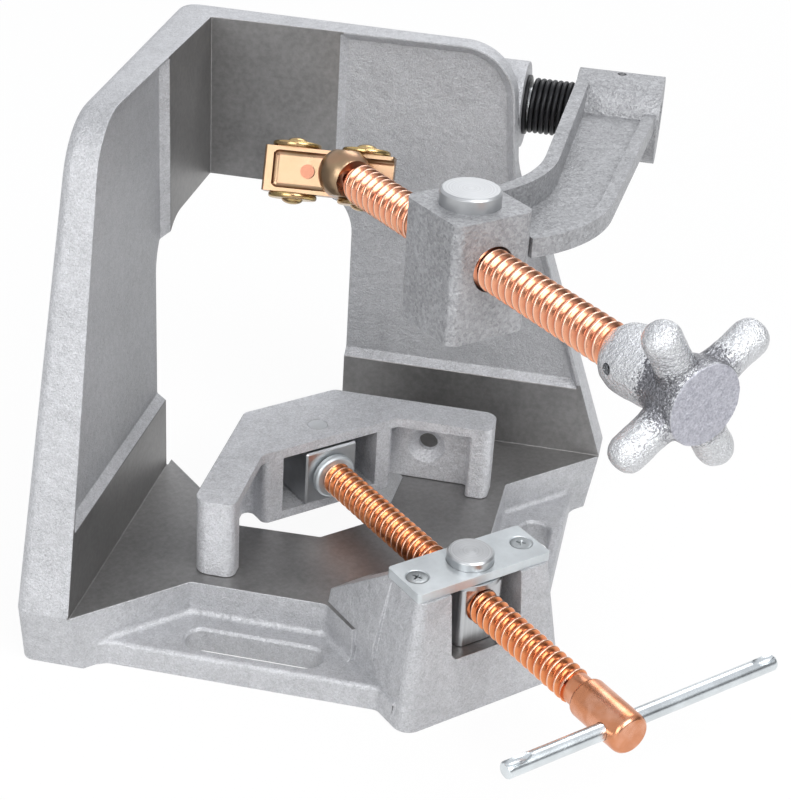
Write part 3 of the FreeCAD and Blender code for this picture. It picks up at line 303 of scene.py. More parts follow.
def casting(name, faces=None, coarse=1.0, tone=1.0):
    """A cast finish; faces gives the milled share of the surface and the share darkened partly for a duller
    skin and partly as painted shade.
    """
    paint = Paint(name)
    share, dull_and_shaded = faces(paint) if faces else (None, None)
    tint, rough, normal = cast_surface(paint, shade(colours().cast, tone), coarse, dull_and_shaded)
    if share is None:
        return paint.finish(colour=tint, rough=rough, metal=0.55, normal=normal)
    base = colours().milled
    wide = paint.noise(34, detail=2.0, rough=0.5).between(0.35, 0.65)
    cloud = paint.noise(15, detail=4.0, rough=0.62)
    fleck = paint.noise(420, detail=4.0, rough=0.65)
    cutter_marks = paint.stretched(scale=(30, 30, 2600), turn=(0, 0, math.pi / 4))
    lines = paint.noise(1.0, rough=0.5, vector=cutter_marks)
    blot = cloud.between(0.32, 0.7) * 0.4 + wide * 0.2 + fleck.between(0.35, 0.7) * 0.3 + lines * 0.1
    milled = paint.mix(blot, shade(base, 0.68), shade(base, 1.5))
    flat = paint.bump(lines * 0.5 + fleck * 0.5, 0.08 * MM, strength=0.5)
    milled_rough = cloud.between(0.3, 0.7) * 0.14 + fleck * 0.1 + 0.3
    relief = paint.add("ShaderNodeMix", {"data_type": "VECTOR"}, {0: share, 4: normal, 5: flat}, out=1)
    return paint.finish(
        colour=paint.mix(share, tint, milled),
        rough=rough + share * (milled_rough - rough),
        metal=share * 0.25 + 0.55,
        normal=relief)


def frame_faces(paint):
    """The frame's milled share, pads, lower bands, floor and foot, and its inner panels darkened partly for
    a duller cast skin and partly as painted shade in the recess.
    """
    pad_reach = 58.5 * MM
    band_top = 61 * MM
    panel_depth = 9 * MM
    x, y, z = paint.axes()
    across = y - CORNER_Y
    right = (x + across) * DIAGONAL
    left = (across - x) * DIAGONAL
    walls = None
    panels = None
    for depth, along, inward in ((right, left * -1.0, LEFT_WALL), (left, right * -1.0, RIGHT_WALL)):
        inner = paint.facing(inward) * depth.near(0.0, panel_depth)
        face = inner * depth.near(0.0, 0.3 * MM)
        low = along.below(pad_reach) + z.below(band_top)
        seam = depth.near(0.0, 0.6 * MM) * z.near(FLOOR_Z + 0.15 * MM, 0.55 * MM)
        milled = face * low.math("MINIMUM", 1.0) + seam
        walls = milled if walls is None else (walls + milled)
        panels = inner if panels is None else (panels + inner)
    floor = z.near(FLOOR_Z, 0.3 * MM) * paint.facing(UP)
    under = z.below(0.15 * MM) * paint.facing(-UP)
    milled = (walls + floor + under).math("MINIMUM", 1.0)
    return milled, (panels - milled).math("MAXIMUM", 0.0)


def jaw_faces(paint):
    """The milled share of the jaw: its two outer faces and its underside."""
    x, y, z = paint.axes()
    across = y - CORNER_Y
    right = (x + across) * -DIAGONAL
    left = (across - x) * -DIAGONAL
    gap = 36.7 * MM
    underside = FLOOR_Z + 0.4 * MM
    faces = right.near(gap, 0.15 * MM) + left.near(gap, 0.15 * MM)
    return (faces + z.below(underside)).math("MINIMUM", 1.0), None


def plated(name, colour, rough=0.22, metal=1.0, grain=0.4, blush=None):
    """A plated surface with a fine grain and slight clouding."""
    paint = Paint(name)
    fine = paint.noise(1500, rough=0.6)
    cloud = paint.noise(90)
    tint = paint.mix(cloud.between(0.3, 0.7), shade(colour, 0.88), shade(colour, 1.12))
    if blush:
        patches = paint.noise(140, detail=2.0, rough=0.5).between(0.42, 0.68)
        tint = paint.mix(patches * 0.7, tint, blush)
    normal = paint.bump(fine, 0.12 * MM * grain, strength=0.6)
    return paint.finish(colour=tint, rough=cloud * 0.14 + fine * 0.08 + (rough - 0.1), metal=metal,
                        normal=normal)


def turned_steel(name, colour, centre, axis, rough=0.26):
    """Turned steel with tool rings about an axis through a centre."""
    paint = Paint(name)
    parts = paint.axes()
    offsets = [part - value for part, value in zip(parts, centre)]
    kept = [offset * offset for offset, along in zip(offsets, axis) if abs(along) < 0.5]
    radius = (kept[0] + kept[1]).math("SQRT")
    rings = (radius * 9000).math("SINE")
    coarse = paint.add("ShaderNodeTexNoise", {"noise_dimensions": "1D"},
                       {"W": radius * 1800, "Scale": 1.0, "Detail": 3.0})
    cloud = paint.noise(120)
    share = coarse.between(0.35, 0.65) * 0.7 + cloud * 0.3
    tint = paint.mix(share, shade(colour, 0.86), shade(colour, 1.12))
    normal = paint.bump(rings * 0.4 + coarse * 0.6, 0.05 * MM, strength=0.5)
    return paint.finish(colour=tint, rough=coarse * 0.12 + (rough - 0.06), metal=1.0, normal=normal)


def copper_plate(name, colour, height, radius):
    """Copper plating on a screw, darker in the roots with painted shade and pale along the crests with a
    painted highlight.
    """
    paint = Paint(name)
    x, y, z = paint.axes()
    drop = z - height
    out = (x * x + drop * drop).math("SQRT")
    cloud = paint.noise(150, rough=0.6)
    fine = paint.noise(1300, rough=0.6)
    # Painted shade: the thread roots are darkened towards a dark red.
    root_shade = (colour[0] * 0.6, colour[1] * 0.34, colour[2] * 0.28)
    pale = (colour[0] * 1.05, colour[1] * 1.3, colour[2] * 1.3)
    tint = paint.mix(out.between(radius - 1.9 * MM, radius - 0.5 * MM), root_shade, colour)
    tint = paint.mix(cloud.between(0.3, 0.7) * 0.35, tint, pale)
    # Painted highlight: a pale band along the thread crests.
    crest_highlight = out.between(radius - 0.3 * MM, radius - 0.05 * MM) * 0.65
    tint = paint.mix(crest_highlight, tint, CREST_HIGHLIGHT_COPPER)
    normal = paint.bump(fine, 0.03 * MM, strength=0.4)
    return paint.finish(colour=tint, rough=cloud * 0.1 + fine * 0.05 + 0.16, metal=1.0, normal=normal)


def knob_surface(name, colour):
    """Tumbled casting: bright and dimpled, with painted shade in the hollows between the prongs and a plain
    blasted front face.
    """
    paint = Paint(name)
    x, y, z = paint.axes()
    front = y.below(KNOB_FACE_Y + 0.4 * MM, soft=0.6 * MM)
    pits = paint.noise(1400, rough=0.7)
    lumps = paint.noise(620, detail=4.0, rough=0.65)
    cloud = paint.noise(60, detail=2.0)
    drop = z - UPPER_Z
    stray = (lumps - 0.5) * (16 * MM) + (pits - 0.5) * (14 * MM)
    away = (x * x + drop * drop).math("SQRT") + stray
    # Painted shade: the hollows between the prongs are darkened almost to black.
    between_prongs = (y + stray).near(-100 * MM, 9.5 * MM)
    hollow = away.below(17.5 * MM, soft=2.5 * MM) * between_prongs
    tint = paint.mix(pits.between(0.3, 0.7), shade(colour, 0.78), shade(colour, 1.16))
    hollow_shade = paint.mix(pits.between(0.42, 0.6), (0.05, 0.05, 0.06), (0.30, 0.30, 0.33))
    tint = paint.mix(hollow * 0.85, tint, hollow_shade)
    blasted = paint.mix(pits.between(0.35, 0.65), (0.34, 0.34, 0.40), (0.64, 0.64, 0.70))
    tint = paint.mix(front * 0.85, tint, blasted)
    normal = paint.bump(pits, 0.5 * MM, strength=0.75)
    normal = paint.bump(lumps, 1.1 * MM, strength=0.7, under=normal)
    rough = pits * 0.08 + cloud * 0.06 + front * 0.32 + 0.1
    return paint.finish(colour=tint, rough=rough, metal=0.97, normal=normal)


FINISHES = {}


def finish(name):
    """The named material, made when it is first asked for."""
    tint = colours()
    foot = (0, 0, 0)
    upper_nut_foot = (0, UPPER_NUT_Y, 0)
    makers = {
        "frame": lambda: casting("frame_casting", frame_faces, coarse=1.15),
        "jaw": lambda: casting("jaw_casting", jaw_faces, coarse=1.2, tone=1.28),
        "arm": lambda: casting("arm_casting", coarse=1.6, tone=0.68),
        "zinc": lambda: plated("bright_zinc", shade(tint.zinc, 0.9), 0.4, metal=0.8, grain=0.5),
        "bar": lambda: plated("bar_zinc", shade(tint.zinc, 1.05), 0.24, grain=0.3),
        "shoe": lambda: plated("shoe_zinc", tint.yellow, 0.3, grain=0.3, blush=SHOE_BLUSH),
        "brass": lambda: plated("disc_zinc", DISC_YELLOW, 0.24, grain=0.3, blush=DISC_BLUSH),
        "screw": lambda: plated("screw_zinc", shade(tint.zinc, 0.55), 0.3, grain=0.5),
        "steel": lambda: plated("bare_steel", tint.steel, 0.3, grain=0.6),
        "dark_steel": lambda: plated("oiled_steel", shade(tint.steel, 0.5), 0.34, grain=0.6),
        "stud": lambda: plated("stud_copper", STUD_COPPER, 0.4),
        "lower_nut": lambda: turned_steel("lower_nut_steel", shade(tint.steel, 1.1), foot, UP, 0.32),
        "upper_nut": lambda: turned_steel("upper_nut_steel", tint.steel, upper_nut_foot, UP, 0.42),
        "lower_copper": lambda: copper_plate("lower_copper", tint.copper, LOWER_Z, LOWER_RADIUS),
        "upper_copper": lambda: copper_plate("upper_copper", tint.upper_copper, UPPER_Z, UPPER_RADIUS),
        "head_copper": lambda: plated("head_copper", HEAD_COPPER, 0.27, grain=0.2, blush=HEAD_BLUSH),
        "knob": lambda: knob_surface("knob_casting", tint.knob),
        "black": lambda: plated("spring_black", tint.black, 0.4, metal=0.7),
    }
    if name not in FINISHES:
        FINISHES[name] = makers[name]()
    return FINISHES[name]


def deselect():
    if bpy.context.object and bpy.context.object.mode != "OBJECT":
        bpy.ops.object.mode_set(mode="OBJECT")
    bpy.ops.object.select_all(action="DESELECT")


def choose(piece):
    """Makes a piece the only selected and the active one."""
    deselect()
    bpy.context.view_layer.objects.active = piece
    piece.select_set(True)


def edit(piece):
    """Opens a piece in edit mode with all of it selected."""
    choose(piece)
    bpy.ops.object.mode_set(mode="EDIT")
    bpy.ops.mesh.select_all(action="SELECT")


def leave_edit():
    bpy.ops.object.mode_set(mode="OBJECT")


def modify(piece, kind, **settings):
    """Adds a modifier, sets it and applies it."""
    choose(piece)
    added = piece.modifiers.new(kind.lower(), kind)
    for key, value in settings.items():
        setattr(added, key, value)
    bpy.ops.object.modifier_apply(modifier=added.name)
    return piece


def rounded(piece, width, segments=2, angle=32, clamp=True):
    """Rounds the edges that are sharper than an angle."""
    return modify(piece, "BEVEL", width=width, segments=segments, limit_method="ANGLE",
                  angle_limit=math.radians(angle), miter_outer="MITER_ARC", use_clamp_overlap=clamp,
                  harden_normals=False)


def smooth(piece, angle=35, flats=True):
    """Shades smooth under an angle and, for flats, keeps the large faces plane."""
    choose(piece)
    bpy.ops.object.shade_smooth_by_angle(angle=math.radians(angle))
    return modify(piece, "WEIGHTED_NORMAL", mode="FACE_AREA", keep_sharp=True) if flats else piece


def dress(piece, body, slot, material, *nodes):
    """Gives a finished piece its material and body and hides the solids it stands for; slot is not used."""
    piece.data.materials.clear()
    piece.data.materials.append(finish(material))
    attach(piece, body)
    if nodes:
        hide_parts(*nodes)
    return piece


def copy_node(node, name, join_within=0.01 * MM):
    """A copy of a solid's mesh with its loose triangles joined up."""
    piece = bpy.data.objects.new(name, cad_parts[node].data.copy())
    bpy.context.collection.objects.link(piece)
    edit(piece)
    bpy.ops.mesh.remove_doubles(threshold=join_within)
    bpy.ops.mesh.dissolve_limited(angle_limit=math.radians(0.5))
    leave_edit()
    return piece


def drawn_line(name, points):
    """A line of corners, each extruded from the last."""
    deselect()
    bpy.ops.mesh.primitive_plane_add(size=MM)
    piece = bpy.context.object
    piece.name = name
    edit(piece)
    bpy.ops.mesh.merge(type="CENTER")
    bpy.ops.transform.translate(value=points[0])
    for here, following in zip(points, points[1:]):
        bpy.ops.mesh.extrude_region_move(TRANSFORM_OT_translate={"value": following - here})
    leave_edit()
    return piece


def clean(piece):
    """Merges doubled corners and turns all faces outwards."""
    edit(piece)
    bpy.ops.mesh.remove_doubles(threshold=0.002 * MM)
    bpy.ops.mesh.normals_make_consistent(inside=False)
    leave_edit()
    return piece


def turned(name, profile, base, axis, steps=64):
    """Spins a profile of (along, radius) pairs in millimetres about an axis."""
    axis = Vector(axis).normalized()
    base = Vector(base)
    side = axis.orthogonal().normalized()
    points = [base + axis * (along * MM) + side * (radius * MM) for along, radius in profile]
    if profile[0][1] > 0:
        points.insert(0, base + axis * (profile[0][0] * MM))
    if profile[-1][1] > 0:
        points.append(base + axis * (profile[-1][0] * MM))
    piece = drawn_line(name, points)
    edit(piece)
    bpy.ops.mesh.spin(steps=steps, angle=math.tau, center=base, axis=axis)
    leave_edit()
    return clean(piece)


def join(pieces, name):
    """Makes several pieces one, under a new name."""
    deselect()
    for piece in pieces:
        piece.select_set(True)
    bpy.context.view_layer.objects.active = pieces[0]
    bpy.ops.object.join()
    pieces[0].name = name
    return pieces[0]


def cut(piece, tool, operation="DIFFERENCE"):
    """Takes a tool's shape out of a piece and removes the tool."""
    modify(piece, "BOOLEAN", object=tool, operation=operation, solver="EXACT")
    bpy.data.objects.remove(tool)
    return piece


def thread(name, radius, start, end, height):
    """A solid trapezoidal thread between two places along Y, at a height."""
    pitch = sizes().pitch
    root = radius - sizes().thread_depth
    toe = root + 0.1 * MM
    shoulder = radius - 0.32 * MM
    worn_crest = radius - 0.09 * MM
    low = start - 2 * pitch
    # Shares of the pitch and radii, from the root over the crest to the next root.
    shape = [(0.0, root), (0.15, root), (0.20, toe), (0.375, shoulder), (0.41, worn_crest), (0.46, radius),
             (0.54, radius), (0.59, worn_crest), (0.625, shoulder), (0.80, toe), (0.85, root), (1.0, root)]
    points = [Vector((out, low + share * pitch, 0)) for share, out in shape]
    piece = drawn_line(name, points)
    turns = math.ceil((end - start) / pitch) + 4
    modify(piece, "SCREW", axis="Y", angle=math.tau, screw_offset=pitch, iterations=turns, steps=40,
           render_steps=40, use_merge_vertices=True, merge_threshold=0.005 * MM)
    piece.location = (0, 0, height)
    choose(piece)
    bpy.ops.object.transform_apply(location=True, rotation=True, scale=True)
    clean(piece)
    for place, outward in ((start, -1), (end, 1)):
        edit(piece)
        bpy.ops.mesh.bisect(plane_co=(0, place, height), plane_no=(0, outward, 0), use_fill=True,
                            clear_outer=True)
        leave_edit()
    clean(piece)
    return smooth(piece, 50, flats=False)


class ClampPiece:
    """What the operators share."""
    bl_options = {"REGISTER", "UNDO"}


class CLAMP_OT_frame_casting(ClampPiece, bpy.types.Operator):
    """Rounds the frame's cast edges and gives it cast and milled surfaces"""
    bl_idname = "clamp.frame_casting"
    bl_label = "Frame casting"

    def execute(self, context):
        piece = copy_node("frame_casting", "frame_body", join_within=0.08 * MM)
        rounded(piece, sizes().frame_round, angle=28, clamp=False)
        dress(smooth(piece, 40), "frame", "casting", "frame", "frame_casting")
        return {"FINISHED"}


class CLAMP_OT_retaining_plate(ClampPiece, bpy.types.Operator):
    """Breaks the plate's edges and makes its cross-recess screws"""
    bl_idname = "clamp.retaining_plate"
    bl_label = "Retaining plate"

    def execute(self, context):
        plate = rounded(copy_node("retaining_plate", "plate_body"), sizes().machined_round)
        dress(smooth(plate), "frame", "zinc", "zinc", "retaining_plate")
        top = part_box("retaining_plate")[1][2]
        off_centre = 24.6 * MM
        screws = []
        for number, x in enumerate((-off_centre, off_centre)):
            base = Vector((x, 0, top))
            screw = turned("plate_screw_%d" % number,
                           [(-18, 2.5), (-2.5, 2.5), (-0.65, 4.35), (-0.35, 4.35), (-0.15, 4.0),
                            (-0.08, 2.6), (-0.05, 1.0)], base, UP, steps=48)
            first_arm = 25 + 20 * number
            for turn in (first_arm, first_arm + 90):
                screw = cut(screw, self.recess(base, turn))
            screws.append(smooth(screw, 30))
        dress(join(screws, "plate_screw_pair"), "frame", "zinc", "screw", "plate_screws")
        return {"FINISHED"}

    def recess(self, base, turn):
        """One arm of the cross, narrower towards its bottom."""
        length, width, height = 5.2 * MM, 0.95 * MM, 2.6 * MM
        deselect()
        bpy.ops.mesh.primitive_cube_add(size=1, location=base + UP * (-0.5 * MM),
                                        rotation=(0, 0, math.radians(turn)))
        tool = bpy.context.object
        tool.scale = (length, width, height)
        bpy.ops.object.transform_apply(location=True, rotation=True, scale=True)
        edit(tool)
        bpy.ops.mesh.select_all(action="DESELECT")
        leave_edit()
        for vertex in tool.data.vertices:
            vertex.select = vertex.co.z < base.z - 1 * MM
        bpy.ops.object.mode_set(mode="EDIT")
        bpy.ops.transform.resize(value=(0.35, 0.35, 1))
        leave_edit()
        return tool


class CLAMP_OT_nuts(ClampPiece, bpy.types.Operator):
    """Finishes the two spindle nuts"""
    bl_idname = "clamp.nuts"
    bl_label = "Spindle nuts"

    def execute(self, context):
        for node, body, material in (("lower_spindle_nut", "lower_nut", "lower_nut"),
                                     ("upper_spindle_nut", "upper_nut", "upper_nut")):
            piece = rounded(copy_node(node, node + "_turned"), sizes().machined_round)
            dress(smooth(piece), body, "nut", material, node)
        return {"FINISHED"}


class CLAMP_OT_lower_spindle(ClampPiece, bpy.types.Operator):
    """Cuts the lower spindle's thread and turns its head"""
    bl_idname = "clamp.lower_spindle"
    bl_label = "Lower spindle"

    def execute(self, context):
        hole_y = -92.4 * MM
        screw = thread("lower_thread", LOWER_RADIUS, start=-68 * MM, end=97.2 * MM, height=LOWER_Z)
        dress(screw, "lower_screw", "spindle", "lower_copper", "lower_spindle")
        head = turned("lower_head", [(-100, 6.4), (-99.6, 7.0), (-98.9, 7.6), (-98.0, 7.9), (-96.5, 8.0),
                                     (-75.4, 8.0), (-74.5, 7.7), (-74.0, 7.1), (-73.6, 6.2), (-66.5, 6.2),
                                     (-65.0, 5.2)], (0, 0, LOWER_Z), FEED)
        cut(head, turned("eye_tool", [(-20, 3.35), (20, 3.35)], (0, hole_y, LOWER_Z), ACROSS, steps=48))
        dress(smooth(rounded(head, 0.3 * MM, angle=40), 40), "lower_screw", "spindle", "head_copper")
        neck = turned("lower_neck", [(96.5, 5.0), (104.5, 5.0), (104.5, 3.6), (107.5, 3.6), (107.5, 5.0),
                                     (108.6, 5.0), (109.1, 4.5)], (0, 0, LOWER_Z), FEED, steps=48)
        dress(smooth(neck), "lower_screw", "spindle", "steel")
        return {"FINISHED"}


class CLAMP_OT_t_bar(ClampPiece, bpy.types.Operator):
    """Makes the T-bar with its pressed ends"""
    bl_idname = "clamp.t_bar"
    bl_label = "T-bar"

    def execute(self, context):
        low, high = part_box("t_bar")
        centre = Vector([(near + far) / 2 for near, far in zip(low, high)])
        half = (high[0] - low[0]) / 2 / MM
        radius = 3.25
        dent_inset = 5.2
        dent_height = 3.9 * MM
        profile = [(-half, radius - 0.9), (-half + 0.4, radius - 0.3), (-half + 1.0, radius)]
        profile += [(-half + 1 + step, radius) for step in range(1, 16)]
        profile += [(along * -1, r) for along, r in reversed(profile)]
        bar = turned("t_bar_pressed", profile, centre, ACROSS, steps=40)
        for side in (-1, 1):
            cut(bar, self.press(centre + Vector((side * (half - dent_inset) * MM, 0, dent_height))))
        dress(smooth(rounded(bar, 0.25 * MM, angle=38), 45), "t_bar", "zinc", "bar", "t_bar")
        return {"FINISHED"}

    def press(self, centre):
        """The long rounded tool that dents the bar near an end."""
        deselect()
        bpy.ops.mesh.primitive_uv_sphere_add(segments=48, ring_count=24, radius=1, location=centre)
        tool = bpy.context.object
        tool.scale = (6.2 * MM, 3.0 * MM, 2.5 * MM)
        bpy.ops.object.transform_apply(location=True, rotation=True, scale=True)
        return tool


class CLAMP_OT_movable_jaw(ClampPiece, bpy.types.Operator):
    """Rounds the V jaw and finishes what turns inside it"""
    bl_idname = "clamp.movable_jaw"
    bl_label = "Movable jaw"

    def execute(self, context):
        jaw = rounded(copy_node("movable_jaw", "jaw_body"), sizes().cast_round * 0.85, segments=3, angle=28)
        dress(smooth(jaw, 40), "jaw", "casting", "jaw", "movable_jaw")
        for node, body, slot, material in (
                ("jaw_swivel_block", "jaw_carriage", "machined", "steel"),
                ("thrust_collar", "jaw_carriage", "zinc", "zinc"),
                ("jaw_pivot_pin", "jaw", "machined", "steel")):
            piece = rounded(copy_node(node, node + "_edged"), sizes().machined_round)
            dress(smooth(piece), body, slot, material, node)
        return {"FINISHED"}


class CLAMP_OT_swing_arm(ClampPiece, bpy.types.Operator):
    """Softens the arm's casting and finishes its pivot"""
    bl_idname = "clamp.swing_arm"
    bl_label = "Swing arm"

    def execute(self, context):
        arm = rounded(copy_node("swing_arm", "arm_body"), sizes().cast_round, segments=3, angle=28)
        dress(smooth(arm, 40), "arm", "casting", "arm", "swing_arm")
        for node, body, slot, material in (
                ("arm_shaft", "arm", "shaft", "steel"),
                ("shaft_washer", "frame", "spring", "black")):
            piece = rounded(copy_node(node, node + "_edged"), sizes().machined_round)
            dress(smooth(piece), body, slot, material, node)
        return {"FINISHED"}


class CLAMP_OT_arm_spring(ClampPiece, bpy.types.Operator):
    """Winds the torsion spring with a leg at its start"""
    bl_idname = "clamp.arm_spring"
    bl_label = "Torsion spring"

    def execute(self, context):
        wire = 1.2 * MM
        coil = 11.05 * MM
        leg = 5 * MM
        axis = Vector((0, CORNER_Y, 181 * MM)) - LEFT_WALL * (28.2 * MM)
        start, end = 138.6 * MM, 155.9 * MM
        turns, each = 7, 20
        count = turns * each
        first = -math.pi / 2
        points = [axis + RIGHT_WALL * start - LEFT_WALL * leg - UP * coil]
        for step in range(count + 1):
            share = step / count
            angle = first - share * turns * math.tau
            along = start + (end - start) * share
            points.append(axis + RIGHT_WALL * along + LEFT_WALL * (-math.cos(angle) * coil)
                          + UP * (math.sin(angle) * coil))
        curve = bpy.data.curves.new("spring_wire", "CURVE")
        curve.dimensions = "3D"
        spline = curve.splines.new("NURBS")
        spline.points.add(len(points) - 1)
        for point, place in zip(spline.points, points):
            point.co = (*place, 1)
        spline.order_u = 3
        spline.use_endpoint_u = True
        curve.bevel_depth = wire
        curve.bevel_resolution = 3
        curve.use_fill_caps = True
        piece = bpy.data.objects.new("spring_coil", curve)
        bpy.context.collection.objects.link(piece)
        choose(piece)
        bpy.ops.object.convert(target="MESH")
        piece = smooth(bpy.context.object, 50, flats=False)
        dress(piece, "frame", "spring", "black", "arm_spring")
        return {"FINISHED"}


class CLAMP_OT_upper_spindle(ClampPiece, bpy.types.Operator):
    """Cuts the upper spindle's thread and its plain ends"""
    bl_idname = "clamp.upper_spindle"
    bl_label = "Upper spindle"

    def execute(self, context):
        middle = (0, 0, UPPER_Z)
        screw = thread("upper_thread", UPPER_RADIUS, start=-72 * MM, end=91.7 * MM, height=UPPER_Z)
        cut(screw, turned("thread_envelope", [(-80, 9), (88.5, 9), (91.9, 6.3)], middle, FEED), "INTERSECT")
        dress(smooth(screw, 50, flats=False), "upper_screw", "spindle", "upper_copper", "upper_spindle")
        neck = turned("upper_neck", [(91, 3.5), (100, 3.5), (100, 2.1), (103, 2.1), (103, 3.5),
                                     (104.3, 3.5), (104.6, 3.2)], middle, FEED, steps=48)
        dress(smooth(neck), "upper_screw", "spindle", "upper_copper")
        shank = turned("upper_shank", [(-98, 7.0), (-97.6, 7.4), (-71, 7.4)], middle, FEED, steps=48)
        dress(smooth(shank), "upper_screw", "spindle", "steel")
        return {"FINISHED"}


class CLAMP_OT_star_knob(ClampPiece, bpy.types.Operator):
    """Forms the star knob as one soft casting"""
    bl_idname = "clamp.star_knob"
    bl_label = "Star knob"

    def execute(self, context):
        rim = Vector((0, -68.6 * MM, UPPER_Z))
        star = Vector((0, -102.4 * MM, UPPER_Z))
        pin_centre = (0, -76.6 * MM, UPPER_Z)
        star_turn = 33
        away = -FEED
        parts = [turned("knob_body", [(0, 8.6), (0.9, 10.2), (2.6, 11.4), (5.5, 12.3), (11, 12.5),
                                      (17, 11.9), (22, 11.3), (27, 11.9), (32, 13.4), (37, 14.2),
                                      (41, 14.2), (42.2, 14.0)], rim, away, steps=48)]
        for quarter in range(4):
            angle = math.radians(star_turn + 90 * quarter)
            out = Vector((math.cos(angle), 0, math.sin(angle)))
            parts.append(turned("prong_%d" % quarter, [(2, 8.0), (10, 7.5), (15, 6.7), (20, 6.4), (25, 6.6),
                                                       (27.5, 6.6), (30, 5.9), (31.8, 4.3), (32.7, 2.2)],
                                star, out, steps=32))
        knob = join(parts, "knob_body")
        modify(knob, "REMESH", mode="VOXEL", voxel_size=0.62 * MM)
        modify(knob, "SMOOTH", factor=0.5, iterations=9)
        lumps = bpy.data.textures.new("knob_lumps", "CLOUDS")
        lumps.noise_scale = 5 * MM
        lumps.noise_depth = 2
        modify(knob, "DISPLACE", texture=lumps, texture_coords="LOCAL", strength=sizes().knob_lumps,
               mid_level=0.5)
        edit(knob)
        bpy.ops.mesh.bisect(plane_co=(0, KNOB_FACE_Y, UPPER_Z), plane_no=away, use_fill=True,
                            clear_outer=True)
        leave_edit()
        cut(knob, turned("knob_bore_tool", [(-5, 8.06), (3.6, 8.06), (3.6, 7.42), (30, 7.42)],
                         rim, away, steps=48))
        cut(knob, turned("knob_pin_tool", [(-20, 2.02), (10.9, 2.02)], pin_centre, ACROSS, steps=24))
        dress(smooth(knob, 40, flats=False), "upper_screw", "knob", "knob", "star_knob")
        pin = turned("knob_spring_pin", [(-10.7, 1.5), (-10.3, 2.0), (10.3, 2.0), (10.7, 1.5)],
                     pin_centre, ACROSS, steps=24)
        cut(pin, turned("pin_hollow", [(-12, 1.1), (12, 1.1)], pin_centre, ACROSS, steps=24))
        dress(smooth(pin), "upper_screw", "machined", "dark_steel", "knob_pin")
        return {"FINISHED"}


class CLAMP_OT_shoe(ClampPiece, bpy.types.Operator):
    """Finishes the shoe with its discs and rivets"""
    bl_idname = "clamp.shoe"
    bl_label = "Pressure shoe"

    def execute(self, context):
        dressed = [("shoe_body", "shoe", "shoe"), ("swivel_barrel", "knuckle", "stud")]
        for level in ("top", "bottom"):
            for side in ("left", "right"):
                dressed.append(("shoe_disc_%s_%s" % (level, side), "shoe", "brass"))
        for node, body, material in dressed:
            piece = copy_node(node, node + "_edged")
            if node == "shoe_body":
                cut(piece, self.channel())
            rounded(piece, sizes().machined_round)
            dress(smooth(piece), body, "yellow_zinc", material, node)
        half, head, rise, shank = 11.4, 4.3, 2.0, 2.5
        dome = [(half + rise * math.sin(math.radians(angle)), head * math.cos(math.radians(angle)))
                for angle in (3, 12, 24, 38, 52, 66, 80)]
        profile = [(-along, radius) for along, radius in reversed(dome)]
        profile += [(-half, 4.2), (-half, shank), (half, shank), (half, 4.2)] + dome
        for side, x in (("left", -21.5), ("right", 6.5)):
            node = "shoe_rivet_" + side
            middle = SHOE_PLACE @ Vector((x * MM, 11 * MM, 0))
            rivet = turned(node + "_domed", profile, middle, SHOE_PLACE.to_3x3() @ UP, steps=40)
            dress(smooth(rivet), "shoe", "yellow_zinc", "brass", node)
        return {"FINISHED"}

    def channel(self):
        """The soft-cornered channel in front of the bar, clear of the round socket."""
        length, depth, height = 49.6 * MM, 10 * MM, 15 * MM
        socket_radius = 10.45 * MM
        deselect()
        bpy.ops.mesh.primitive_cube_add(size=1, location=(-4.9 * MM, 2.9 * MM, 0))
        tool = bpy.context.object
        tool.scale = (length, depth, height)
        bpy.ops.object.transform_apply(location=True, rotation=True, scale=True)
        rounded(tool, 2.2 * MM, segments=4)
        deselect()
        bpy.ops.mesh.primitive_uv_sphere_add(segments=64, ring_count=32, radius=socket_radius)
        cut(tool, bpy.context.object)
        cut(tool, turned("saddle_tool", [(-1, 8.45), (12, 8.45)], (0, 0, 0), FEED, steps=48))
        tool.data.transform(SHOE_PLACE)
        return tool


class CLAMP_OT_kept_solids(ClampPiece, bpy.types.Operator):
    """Gives the solids that stay as they are their finishes"""
    bl_idname = "clamp.kept_solids"
    bl_label = "Pins and rings"

    def execute(self, context):
        for node, material in (("lower_neck_pin", "dark_steel"), ("upper_neck_pin", "dark_steel"),
                               ("arm_roll_pin", "dark_steel"), ("shaft_retaining_ring", "black"),
                               ("shoe_stud", "stud")):
            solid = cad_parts[node]
            if not solid.material_slots:
                solid.data.materials.append(None)
            for slot in solid.material_slots:
                slot.link = "OBJECT"
                slot.material = finish(material)
        return {"FINISHED"}


